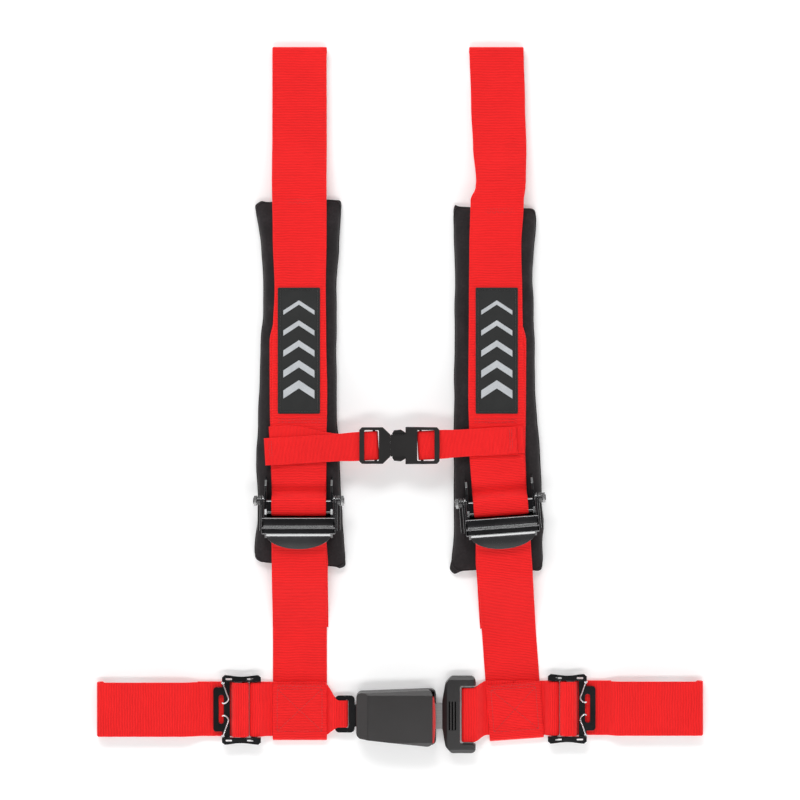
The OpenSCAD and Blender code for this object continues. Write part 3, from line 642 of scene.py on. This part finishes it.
def strap_end(name, node, place):
    """The webbing folded under at a strap's end, narrowed to go through its anchor plate."""
    path = (arc(FOLD_C, FOLD_R, 90, 270, 16) + [(9, 0.9)] + arc(LOOP_C, LOOP_R, -90, 90, 14)
            + [(14, 8), (10, 8)])

    def edges(run, s):
        half = HALF_WEB - 9.4 * smooth01((run - 5) / 7)
        return -half, half

    ribbon(name, path, node, place, edges, across_y=True)


def lap_inner_strap(side):
    """From the latch (left) or the tongue (right) to the inner bar of the lap adjuster, both layers."""
    ring, r = INNER_BAR, 4.05
    slot_r = 2.1        # the turn in the slot of the latch's frame or the tongue
    shift = LAP_SHIFT * side
    outer = (ease((-126, Z_UNDER), (-134, ring[1] - r), 5) + arc(ring, r, 270, 90, 16)
             + ease((-134, ring[1] + r), (-122.5 - 4 * side, Z_OVER), 8))
    if side == 0:
        path = ([(-100, Z_OVER), (-70, Z_OVER)] + ease((-68.2, Z_OVER), (-60.8, FRAME_MID + slot_r), 8)
                + arc((-51.2, FRAME_MID), slot_r, 90, -90)
                + ease((-62, FRAME_MID - slot_r), (-68.5, Z_UNDER), 8) + outer + [(-101, Z_OVER)])
        narrow = ((-72, -HALF_WEB, HALF_WEB), (-57, -16.9, 8.3))
        place = at_lap(0)
    else:
        path = ([(-106, Z_OVER), (-81, Z_OVER)] + ease((-79.5, Z_OVER), (-69.6, TONGUE_MID + slot_r), 8)
                + arc((-60.2, TONGUE_MID), slot_r, 90, -90)
                + ease((-69.6, TONGUE_MID - slot_r), (-79, Z_UNDER), 8)
                + [(p[0] - shift, p[1]) for p in outer] + [(-107, Z_OVER)])
        narrow = ((-82, -HALF_WEB, HALF_WEB), (-68, -31.2, 19.6))

        def place(p):
            return Vector((-p.x, p.y + LAP_Y[1], p.z))

    k = SIDES[side]
    ribbon("lap_inner_webbing_" + k, path, "lap_inner_strap_" + k, place,
           lambda run, s: edges_of(narrow, run), across_y=True)


def lap_strap(side):
    """From the outer fold down to the adjuster, round its sliding bar and back underneath."""
    c, r, f, k = SLIDE_BAR, 5.5, LAP_FOLD[side], SIDES[side]
    path = ([(f + 1.8, Z_TOP - 0.25), (f + 6, Z_TOP), (f + 78, Z_TOP)] + ease((f + 80, Z_TOP), (-184, 4.2))
            + [(-160.6, 4.2), (-158.7, 4.5), (-157.4, 5.3)] + arc(c, r, 184, 90, 8)
            + arc((c[0] + 4.0, c[1]), r, 90, -90) + [(-156, 1.7), (-160, 1.1), (-190, 0.9)])
    ribbon("lap_webbing_" + k, path, "lap_strap_" + k, at_lap(side),
           lambda run, s: (-HALF_WEB, HALF_WEB), across_y=True)


def chest_strap(side):
    """From under its hem to the clip, round the clip's inner bar and back on top."""
    c, r, k = (CLIP_BAR[0] + 0.8, CLIP_Z - 1.2), 2.1, SIDES[side]
    path = ([(-121 + 2 * side, Z_FRONT + 1.5), (-64, Z_FRONT + 1.5)]
            + ease((-62, Z_FRONT + 1.5), (-46, c[1] - r), 8) + arc(c, r, -90, 90, 14)
            + ease((-44, c[1] + r), (-60, Z_HEM), 8) + [(-126 + 13.5 * side, Z_HEM)])
    turned = 95.0                       # path length by which it has gone round the bar
    aslant = 0.0 if side else 10.5      # the left strap's under layer leaves the upper one aslant

    def edges(run, s):
        off = aslant * smooth01((-52 - run) / 52) if s < turned else 0.0
        half = HALF_CHEST + 0.75 * smooth01((run + 60) / 20)
        return off - half, off + half

    def curl(run, w, s):
        if s < turned:
            return 0.0
        low = smooth01((-w - 3 - side) / 9)
        tip = smooth01((-96 - run) / 22)
        return (1.1 if side else 0.4) * low * tip + 0.25 * math.sin(run / 11.0) * (w / HALF_CHEST) ** 2

    ribbon("chest_webbing_" + k, path, "chest_strap_" + k, at_chest(side), edges, across_y=True,
           material="chest", rib=CHEST_RIB, lift=curl)


for side in (0, 1):
    k = SIDES[side]
    shoulder_strap(side)
    lower_strap(side)
    strap_end("shoulder_fold_" + k, "shoulder_end_" + k, at_shoulder_fold(side))
    strap_end("lap_fold_" + k, "lap_end_" + k, at_lap_fold(side))
    lap_inner_strap(side)
    lap_strap(side)
    chest_strap(side)


# ---- pads

def remeshed(ob, kind, **settings):
    """The mesh that a modifier of this kind makes of the object."""
    mod = ob.modifiers.new(kind.lower(), kind)
    for key, value in settings.items():
        setattr(mod, key, value)
    dg = bpy.context.evaluated_depsgraph_get()
    mesh = bpy.data.meshes.new_from_object(ob.evaluated_get(dg))
    ob.modifiers.remove(mod)
    return mesh


def cloth_pad(ob):
    """Lets the cover swell over its foam for a moment, then keeps the shape."""
    cap, frames, share = 0.006, 20, (0.1, 0.3, 1.0)
    rest = [v.co.copy() for v in ob.data.vertices]
    mod = ob.modifiers.new("swell", "CLOTH")
    st = mod.settings
    st.use_pressure = True
    st.uniform_pressure_force = 4.0
    st.effector_weights.gravity = 0.0
    st.tension_stiffness = st.compression_stiffness = 12
    st.bending_stiffness = 0.6
    st.quality = 5
    mod.point_cache.frame_start, mod.point_cache.frame_end = 1, frames
    scene = bpy.context.scene
    for f in range(1, frames + 1):
        scene.frame_set(f)
    dg = bpy.context.evaluated_depsgraph_get()
    moved = [v.co.copy() for v in ob.evaluated_get(dg).data.vertices]
    ob.modifiers.remove(mod)
    scene.frame_set(1)
    for v, a, b in zip(ob.data.vertices, rest, moved):
        d = b - a
        if d.length > cap:
            d *= cap / d.length
        v.co = a + d * Vector(share)
    ob.data.update()


def pillow(mesh, lo, hi):
    """Thins the pad's ends like a pillow's and pulls its corners out into ears; its foot stays flat."""
    mid = (lo + hi) / 2
    for v in mesh.vertices:
        end = min(v.co.y - lo.y, hi.y - v.co.y) / MM
        out = abs(v.co.x - mid.x) / MM
        thin = 0.50 + 0.50 * smooth01(end / 26)
        edge = 1.0 - 0.10 * smooth01((out - 34) / 10)
        ear = smooth01((out - 33) / 9) * (1 - smooth01(end / 20))
        v.co.z = 0.0006 + (v.co.z - 0.0013) * thin * edge * (1 - 0.35 * ear)
        v.co.x += MM * 2.2 * ear * (1 if v.co.x > mid.x else -1)
        v.co.y += MM * (2.6 if v.co.y < mid.y else 1.6) * ear * (1 if v.co.y > mid.y else -1)


def pucker_sides(mesh, mid, strap_x, seed):
    """Small folds down the pad's free sides; under the strap it stays below the webbing."""
    rng = random.Random(seed)
    phase = [rng.uniform(0, 6.28) for _ in range(4)]
    for v in mesh.vertices:
        x, y = (v.co.x - mid.x) / MM, (v.co.y - mid.y) / MM
        side_out = smooth01((abs((v.co.x - strap_x) / MM) - 25) / 10)
        pucker = 0.55 * math.sin(y / 9.5 + phase[0] + x * 0.05) + 0.35 * math.sin(y / 5.3 + phase[1])
        v.co.x += MM * 0.5 * pucker * side_out * (1 if x > 0 else -1)
        v.co.z += MM * 0.35 * side_out * (math.sin(x / 5 + phase[2]) * math.sin(y / 21 + phase[3]))
        top = PAD_T - 0.05 if abs((v.co.x - strap_x) / MM) < UNDER_STRAP else PAD_T + 1.2
        v.co.z = min(max(v.co.z, 0.00025), top * MM)


def pad(side):
    """The suede cover, made from the CAD core's shape, and the foam inside it."""
    voxel, wall = 0.0048, 0.0013
    k = SIDES[side]
    ob = bpy.data.objects.new("pad_" + k, frame["nodes"]["pad_core_" + k].data.copy())
    bpy.context.scene.collection.objects.link(ob)
    bm = bmesh.new()
    bm.from_mesh(ob.data)
    bmesh.ops.remove_doubles(bm, verts=bm.verts, dist=WELD)
    bm.to_mesh(ob.data)
    bm.free()
    fresh = remeshed(ob, "REMESH", mode="VOXEL", voxel_size=voxel)
    ob.data = fresh
    lo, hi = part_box("pad_cover_" + k)
    strap_x = SIDE_X[side] * MM
    pillow(fresh, lo, hi)
    cloth_pad(ob)
    pucker_sides(fresh, (lo + hi) / 2, strap_x, "pad" + k)
    fresh.materials.clear()
    fresh.materials.append(M["suede"])
    fresh.polygons.foreach_set("use_smooth", [True] * len(fresh.polygons))
    final = remeshed(ob, "SUBSURF", levels=1, render_levels=1)
    ob.data = final
    final.name = "pad_" + k
    for v in final.vertices:
        if abs(v.co.x - strap_x) / MM < UNDER_STRAP:
            v.co.z = min(v.co.z, (PAD_T - 0.02) * MM)
    # the foam inside follows the cover, a wall's thickness in
    inner = final.copy()
    normals = [v.normal.copy() for v in inner.vertices]
    for v, normal in zip(inner.vertices, normals):
        v.co -= normal * wall
    inner.materials.clear()
    inner.materials.append(M["foam"])
    foam = bpy.data.objects.new("pad_foam_" + k, inner)
    bpy.context.scene.collection.objects.link(foam)
    done(ob, body_of("pad_cover_" + k), "pad_suede", "pad_cover_" + k)
    done(foam, body_of("pad_core_" + k), "pad_foam", "pad_core_" + k)
    return ob


def pad_seam(ob, side):
    """The closing seam round the side of the pad: a fine piping, laid where rays meet the cover."""
    seam_z, count, squareness, radius = 0.0062, 420, 1.35, 0.85
    k = SIDES[side]
    tree = BVHTree.FromPolygons([v.co.copy() for v in ob.data.vertices],
                                [tuple(p.vertices) for p in ob.data.polygons])
    lo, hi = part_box("pad_cover_" + k)
    mid = (lo + hi) / 2
    half = Vector(((hi.x - lo.x) / 2, (hi.y - lo.y) / 2))
    line = []
    for i in range(count):
        a = 2 * math.pi * i / count
        # evenly round a long rounded box instead of a circle
        fx = max(-1, min(1, squareness * math.cos(a)))
        fy = max(-1, min(1, squareness * math.sin(a)))
        target = Vector((mid.x + fx * half.x * 1.3, mid.y + fy * half.y * 1.08, seam_z))
        inside = Vector((mid.x + fx * half.x * 0.35, mid.y + fy * half.y * 0.82, seam_z))
        hit = tree.ray_cast(target, (inside - target).normalized())[0]
        if hit is not None:
            line.append(hit / MM)
    line.append(line[0])
    for _ in range(3):
        inner = [(a + 2 * b + c) / 4 for a, b, c in zip(line, line[1:], line[2:])]
        line = [line[0], *inner, line[-1]]
    verts, faces = [], []
    tube_into(verts, faces, line, radius, 8, taper=False)
    seam = new_mesh("pad_piping_" + k, verts, faces, M["suede"])
    done(seam, body_of("pad_cover_" + k), "pad_suede")


for side in (0, 1):
    pad_seam(pad(side), side)


# ---- labels, with a plain pattern of chevrons

def on_front(y, extra):
    """A height over the front strap's upper face, at y up the body."""
    u = max(0.0, min(1.0, (y - SLOPE[0]) / (SLOPE[1] - SLOPE[0])))
    return Z_FRONT + (Z_UPPER - Z_FRONT) * (1 - math.cos(math.pi * u)) / 2 + WEB_T / 2 + extra


def slab(name, outline, side, z_lift, thick, material, body, *nodes):
    """A thin flat piece that lies on the front strap and follows it."""
    grid = 3.0      # spacing of the cuts that let it bend
    bm = bmesh.new()
    bm.faces.new([bm.verts.new((x, y, 0)) for x, y in outline])
    ys = [y for _, y in outline]
    y = min(ys) + grid
    while y < max(ys):
        bmesh.ops.bisect_plane(bm, geom=bm.verts[:] + bm.edges[:] + bm.faces[:], plane_co=(0, y, 0),
                               plane_no=(0, 1, 0))
        y += grid
    for v in extruded(bm):
        v.co.z = thick
    bmesh.ops.recalc_face_normals(bm, faces=bm.faces)
    rim = [e for e in bm.edges if len(e.link_faces) == 2 and e.calc_face_angle(0) > 1.0
           and min(v.co.z for v in e.verts) > thick / 2]
    bmesh.ops.bevel(bm, geom=rim, offset=min(0.25, thick * 0.4), segments=2, profile=0.5, affect="EDGES")
    place = at_shoulder(side)
    ob = from_bmesh(name, bm, lambda p: place(p + Vector((0, 0, on_front(p.y, z_lift)))), M[material],
                    smooth=False)
    done(ob, body, "woven_label", *nodes)


def rounded_box(x0, y0, x1, y1, r, n=4):
    return (arc((x1 - r, y0 + r), r, -90, 0, n) + arc((x1 - r, y1 - r), r, 0, 90, n)
            + arc((x0 + r, y1 - r), r, 90, 180, n) + arc((x0 + r, y0 + r), r, 180, 270, n))


def label(side):
    """The woven patch, its raised border, five chevrons in silver thread and the seam round it."""
    k = SIDES[side]
    body = body_of("label_" + k)
    x0, y0, x1, y1 = -19.8, -15.5, 19.6, 101.9
    slab("label_patch_" + k, rounded_box(x0, y0, x1, y1, 1.2), side, 0.05, 0.7, "label", body, "label_" + k)
    inset, width = 0.5, 1.1
    a0, b0, a1, b1 = x0 + inset, y0 + inset, x1 - inset, y1 - inset
    border = ((a0, b0, a0 + width, b1), (a1 - width, b0, a1, b1),
              (a0 + width, b0, a1 - width, b0 + width), (a0 + width, b1 - width, a1 - width, b1))
    for i, box in enumerate(border):
        slab(f"label_border_{k}{i}", rounded_box(*box, 0.3, 2), side, 0.7, 0.28, "label", body)
    mid, arm, rise = (x0 + x1) / 2, 14.5, 9.5
    for i in range(5):
        y, t = y0 + 14 + i * 19.5, 7.6 - 0.9 * i
        outline = [(mid - arm, y), (mid, y + rise), (mid + arm, y), (mid + arm, y + t), (mid, y + rise + t),
                   (mid - arm, y + t)]
        slab(f"label_chevron_{k}{i}", outline, side, 0.72, 0.22, "silver", body)
    e = 2.2     # how far in the seam runs
    corners = [(x0 + e, y0 + e), (x1 - e, y0 + e), (x1 - e, y1 - e), (x0 + e, y1 - e), (x0 + e, y0 + e)]
    lines = []
    for (ax, ay), (bx, by) in zip(corners, corners[1:]):
        n = max(1, int(abs(by - ay) // 8))
        spots = [(ax + (bx - ax) * i / n, ay + (by - ay) * i / n) for i in range(n + 1)]
        lines.append([(x, y, on_front(y, 0.87)) for x, y in spots])
    stitches("label_stitching_" + k, lines, at_shoulder(side), body, "thread_black", "woven_label",
             pitch=2.6, radius=0.2)


for side in (0, 1):
    label(side)


# ---- stitching on the webbing

def across(x0, x1, y, z):
    return [(x0, y, z), (x1, y, z)]


def zigzag(x0, x1, y, rise, z, step):
    n = max(2, round(abs(x1 - x0) / step))
    return [(x0 + (x1 - x0) * i / n, y + (rise / 2 if i % 2 else -rise / 2), z) for i in range(n + 1)]


def crossed_box(x0, y0, x1, y1, z):
    return [[(x0, y0, z), (x1, y0, z), (x1, y1, z), (x0, y1, z), (x0, y0, z)],
            [(x0, y0, z), (x1, y1, z)], [(x0, y1, z), (x1, y0, z)]]


def sew(side):
    """The rows that close the pad, the crossed box at the lap strap, and the chest strap's hem."""
    k = SIDES[side]
    half = ("left_half", "right_half")[side]
    face = WEB_T / 2 + 0.02
    top_y, top_z, flap_z = (181.0, 172.0)[side], 16.9 + face, Z_FLAP + face
    dx = -1.2 * side
    stitches("strap_stitching_" + k, [
        zigzag(-20.5 + dx, 20.5 + dx, top_y, 3.0, top_z, 2.4),
        across(-20.5 + dx, 20.5 + dx, top_y + 3.2, top_z),
        across(-20 + dx, 20.4 + dx, -20.6, Z_FRONT + face),
        across(-20 + dx, 20.4 + dx, -23.4, Z_FRONT + face),
    ], at_shoulder(side), half)
    stitches("junction_stitching_" + k,
             crossed_box(-21, -313, 21, -273.5, flap_z) + [zigzag(-21, 21, -270.8, 2.0, flap_z, 1.8)],
             at_shoulder(side), half)
    hem, reach, z = -121.5 + 13.5 * side, 10.4, Z_HEM + face
    stitches("chest_stitching_" + k, [[(x, -reach, z), (x, reach, z)] for x in (hem, hem + 2.2)],
             at_chest(side), half, pitch=2.6, radius=0.22)


for side in (0, 1):
    sew(side)


# ---- hardware

def plate_yz(bm, outline, x0, x1, width):
    """Adds a flat plate standing across X, with its edges rounded off by width."""
    part = bmesh.new()
    part.faces.new([part.verts.new((x0, y, z)) for y, z in outline])
    for v in extruded(part):
        v.co.x = x1
    rim = [e for e in part.edges if e.verts[0].co.x == e.verts[1].co.x]
    bmesh.ops.bevel(part, geom=rim, offset=width, segments=3, profile=0.5, affect="EDGES")
    join(bm, part)


def join(bm, part):
    """Adds one bmesh to another, and frees it."""
    bmesh.ops.recalc_face_normals(part, faces=part.faces)
    fresh = [bm.verts.new(v.co) for v in part.verts]
    part.verts.index_update()
    for f in part.faces:
        bm.faces.new([fresh[v.index] for v in f.verts])
    part.free()


def lever_lip(bm):
    """The thumb lip: sheet bent down from the crossbar, its lower edge a long arc."""
    wide, down = 48, 22                         # faces across it and down it
    edge_y, top_z, lap, sheet = -126.2, 32.2, 1.2, 1.8
    half, oval, depth = 29.8, 30.4, 15.0        # its half width, and the half axes of the arc
    fall, bend = 0.44, 4.2                      # its final slope, and how softly it bends down to it
    part = bmesh.new()
    rows = []
    for i in range(wide + 1):
        x = half * math.sin(math.pi * (i / wide - 0.5))
        reach = depth * math.sqrt(1 - (x / oval) ** 2)
        row = []
        for j in range(down + 1):
            run = -lap + (reach + lap) * j / down
            u = max(0.0, run + lap)
            slack = bend * (1 - math.exp(-u / bend))
            a = math.atan(fall * slack / bend)
            top = Vector((x, edge_y - run, top_z - fall * (u - slack)))
            row.append((top, top - Vector((0, -math.sin(a), math.cos(a))) * sheet))
        rows.append(row)
    top = [[part.verts.new(p[0]) for p in row] for row in rows]
    low = [[part.verts.new(p[1]) for p in row] for row in rows]
    for i in range(wide):
        for j in range(down):
            part.faces.new((top[i][j], top[i + 1][j], top[i + 1][j + 1], top[i][j + 1]))
            part.faces.new((low[i][j], low[i][j + 1], low[i + 1][j + 1], low[i + 1][j]))
        for j in (0, down):
            part.faces.new((top[i][j], low[i][j], low[i + 1][j], top[i + 1][j]))
    for j in range(down):
        for i in (0, wide):
            part.faces.new((top[i][j], low[i][j], low[i][j + 1], top[i][j + 1]))
    bmesh.ops.recalc_face_normals(part, faces=part.faces)
    rim = [e for e in part.edges if e.calc_face_angle(0) > 0.9]
    bmesh.ops.bevel(part, geom=rim, offset=0.3, segments=2, profile=0.5, affect="EDGES", clamp_overlap=True)
    join(bm, part)


def lever(side):
    """The pressed-steel lever: two arms, a crossbar with a rolled top edge and a groove, and the lip."""
    arm = [(-91, 21), (-91, 25.5), (-92.6, 28), (-95, 29.5), (-112, 32.2), (-125.8, 32.2), (-126.6, 31.4),
           (-126.6, 29.4), (-126, 28.8), (-115, 27.2), (-103, 19.5), (-98, 17.8), (-93.5, 18), (-91.8, 19)]
    bar = (arc((-112.9, 31.05), 1.35, -90, 90, 9)
           + [(-115.6, 32.2), (-119.2, 32.2), (-119.7, 31.6), (-120.3, 31.5), (-120.7, 32.3), (-121.2, 32.6),
              (-121.7, 32.3), (-122, 32.2), (-126.2, 32.2), (-127, 31.9), (-127.2, 31.3), (-127, 30.7),
              (-126.2, 30.4), (-116, 30.4)])
    bm = bmesh.new()
    for s in (-1, 1):
        plate_yz(bm, arm, s * 32.0, s * 34.05, 0.4)
    plate_yz(bm, bar, -33.9, 33.9, 0.3)
    lever_lip(bm)
    ob = from_bmesh("lever_shaped_" + SIDES[side], bm, at_shoulder(side), M["lever_steel"])
    crisp(ob)
    node = "lever_" + SIDES[side]
    done(ob, body_of(node), "black_steel", node)


def painted_groove_shade():
    """Near-black matt sheets in the three finger grooves of the tongue's grip: painted shade in the grooves.
    """
    section = ((0.08, 13.15), (0.22, 12.85), (0.45, 12.7), (0.95, 12.7), (1.18, 12.85), (1.32, 13.15))
    size, steps, length = len(section), 8, 26.8
    verts, faces = [], []
    for x in (45.4, 48.2, 51.0):
        for step in range(steps + 1):
            first = len(verts)
            y = LATCH_Y - 12.9 + length * step / steps
            verts += [Vector((x + dx, y, z)) for dx, z in section]
            if step:
                faces += [(first + i - size, first + i - size + 1, first + i + 1, first + i)
                          for i in range(size - 1)]
    done(new_mesh("grip_groove_painted_shade", verts, faces, M["groove"]), body_of("tongue_grip"), "dark_plastic")


def lap_wire(side):
    """The two bent wire springs of a lap adjuster, each with its coil."""
    flat = [(-165.8, 25.2), (-164.8, 22.4), (-162.6, 16), (-160.4, 10.4), (-160.6, 8.6), (-162, 7),
            (-164, 5.6), (-165.6, 5.4), (-166.6, 6.4)]
    leg = resample(flat, 0.7)
    turns = [i * math.pi / 6 for i in range(30)]
    leg_z, leg_r, coil_r = 8.3, 0.62, 0.5
    place = at_lap(side)
    verts, faces = [], []
    for m in (1, -1):
        tube_into(verts, faces, [place(Vector((p.x, m * p.y, leg_z))) for p in leg], leg_r, 10)
        coil = [Vector((-165.8 + 1.35 * math.cos(a), m * (24.9 + 0.675 * math.sin(a)), 7.9 + 0.22 * a / 3))
                for a in turns]
        tube_into(verts, faces, [place(p) for p in coil], coil_r, 8)
    ob = new_mesh("lap_wire_" + SIDES[side], verts, faces, M["bright_steel"])
    node = "lap_springs_" + SIDES[side]
    done(ob, body_of(node), "bright_steel", node)


for side, k in enumerate(SIDES):
    for stem in ("adjuster_frame_", "adjuster_pins_", "lap_frame_"):
        refine(stem + k, "black_steel", "black_steel", 0.35)
    lever(side)
    refine("shoulder_anchor_" + k, "bright_steel", "bright_steel", 0.5)
    refine("lap_anchor_" + k, "bright_steel", "bright_steel", 0.5)
refine("latch_top_cover", "plastic", "dark_plastic", 0.7, 3)
refine("latch_bottom_cover", "plastic", "dark_plastic", 0.5)
refine("latch_button", "button", "red_plastic", 0.4)
refine("latch_frame", "black_steel", "black_steel", 0.3)
refine("tongue_plate", "tongue", "bright_steel", 0.3)
refine("tongue_grip", "grip", "dark_plastic", 0.6, 3)
painted_groove_shade()
male = refine("clip_male", "clip", "dark_plastic", 0.45, 3)
for v in male.data.vertices:
    if -10.0 * MM < v.co.x < -8.9 * MM:     # nearly closes the line of light at the shoulder of the clip
        v.co.x += 0.35 * MM
refine("clip_female", "clip", "dark_plastic", 0.45, 3)
refine("clip_prong_upper", "clip", "dark_plastic", 0.35)
refine("clip_prong_lower", "clip", "dark_plastic", 0.35)
refine("latch_catch", "bright_steel", "bright_steel", 0.1)
refine("latch_ejector", "pale", "pale_plastic", 0.3)
for side, k in enumerate(SIDES):
    lap_wire(side)
    dress("adjuster_bar_" + k, "black_steel")
    dress("lock_bar_" + k, "knurled")
    dress("lap_slide_bar_" + k, "knurled")
    dress("lever_springs_" + k, "black_steel")
for node in ("latch_rivet", "latch_button_springs", "latch_ejector_springs"):
    dress(node, "bright_steel")


# ---- floor, light and camera

def stage():
    """A plain pale floor, a hair's breadth under the object."""
    s = Shade("floor", (0.93, 0.93, 0.93), 0.7, Specular_IOR_Level=0.1,
              Emission_Color=(1, 1, 1, 1), Emission_Strength=0.12)
    s.set("Base Color", s.ramp(s.noise(4, 2), [(0.3, 0.92), (0.7, 0.94)]))
    bpy.ops.mesh.primitive_plane_add(size=12, location=(0, 0, -0.0002))
    floor = bpy.context.object
    floor.name = "floor"
    floor.data.materials.append(s.m)


def area(name, size, location, aim, power):
    """A rectangular lamp that points at aim."""
    light = bpy.data.lights.new(name, "AREA")
    light.shape, light.size, light.size_y, light.energy = "RECTANGLE", size[0], size[1], power
    ob = bpy.data.objects.new(name, light)
    ob.location = location
    ob.rotation_euler = (Vector(aim) - Vector(location)).to_track_quat("-Z", "Y").to_euler()
    bpy.context.scene.collection.objects.link(ob)


def studio():
    """A white room, open and dark straight overhead, brighter low down on all sides."""
    world = bpy.data.worlds.new("studio")
    world.use_nodes = True
    nt = world.node_tree
    up = nt.nodes.new("ShaderNodeSeparateXYZ")
    nt.links.new(nt.nodes.new("ShaderNodeTexCoord").outputs["Generated"], up.inputs[0])
    ramp = nt.nodes.new("ShaderNodeValToRGB")
    stops = ((0.0, 0.9), (0.35, 1.0), (0.50, 0.9), (0.68, 0.16), (1.0, 0.03))   # height, brightness
    while len(ramp.color_ramp.elements) < len(stops):
        ramp.color_ramp.elements.new(0.5)
    for e, (at, value) in zip(ramp.color_ramp.elements, stops):
        e.position, e.color = at, (value, value, value, 1)
    nt.links.new(up.outputs["Z"], ramp.inputs["Fac"])
    nt.links.new(ramp.outputs["Color"], nt.nodes["Background"].inputs["Color"])
    nt.nodes["Background"].inputs["Strength"].default_value = 1.4
    bpy.context.scene.world = world


stage()
area("key", (1.3, 0.5), (-0.35, 1.5, 1.55), (0, 0, 0), 21)
area("strip", (1.8, 0.36), (0.1, -0.98, 1.75), (0, -0.1, 0), 13)
area("rim", (1.6, 0.5), (0, -1.9, 0.7), (0, -0.1, 0), 7)
studio()
bpy.context.scene.view_settings.view_transform = "Standard"

cam = bpy.data.cameras.new("camera")
cam.lens, cam.sensor_width = 100, 36
cam_ob = bpy.data.objects.new("camera", cam)
cam_ob.location = (0, -0.00045, 2.088)      # looks straight down
bpy.context.scene.collection.objects.link(cam_ob)
bpy.context.scene.camera = cam_ob
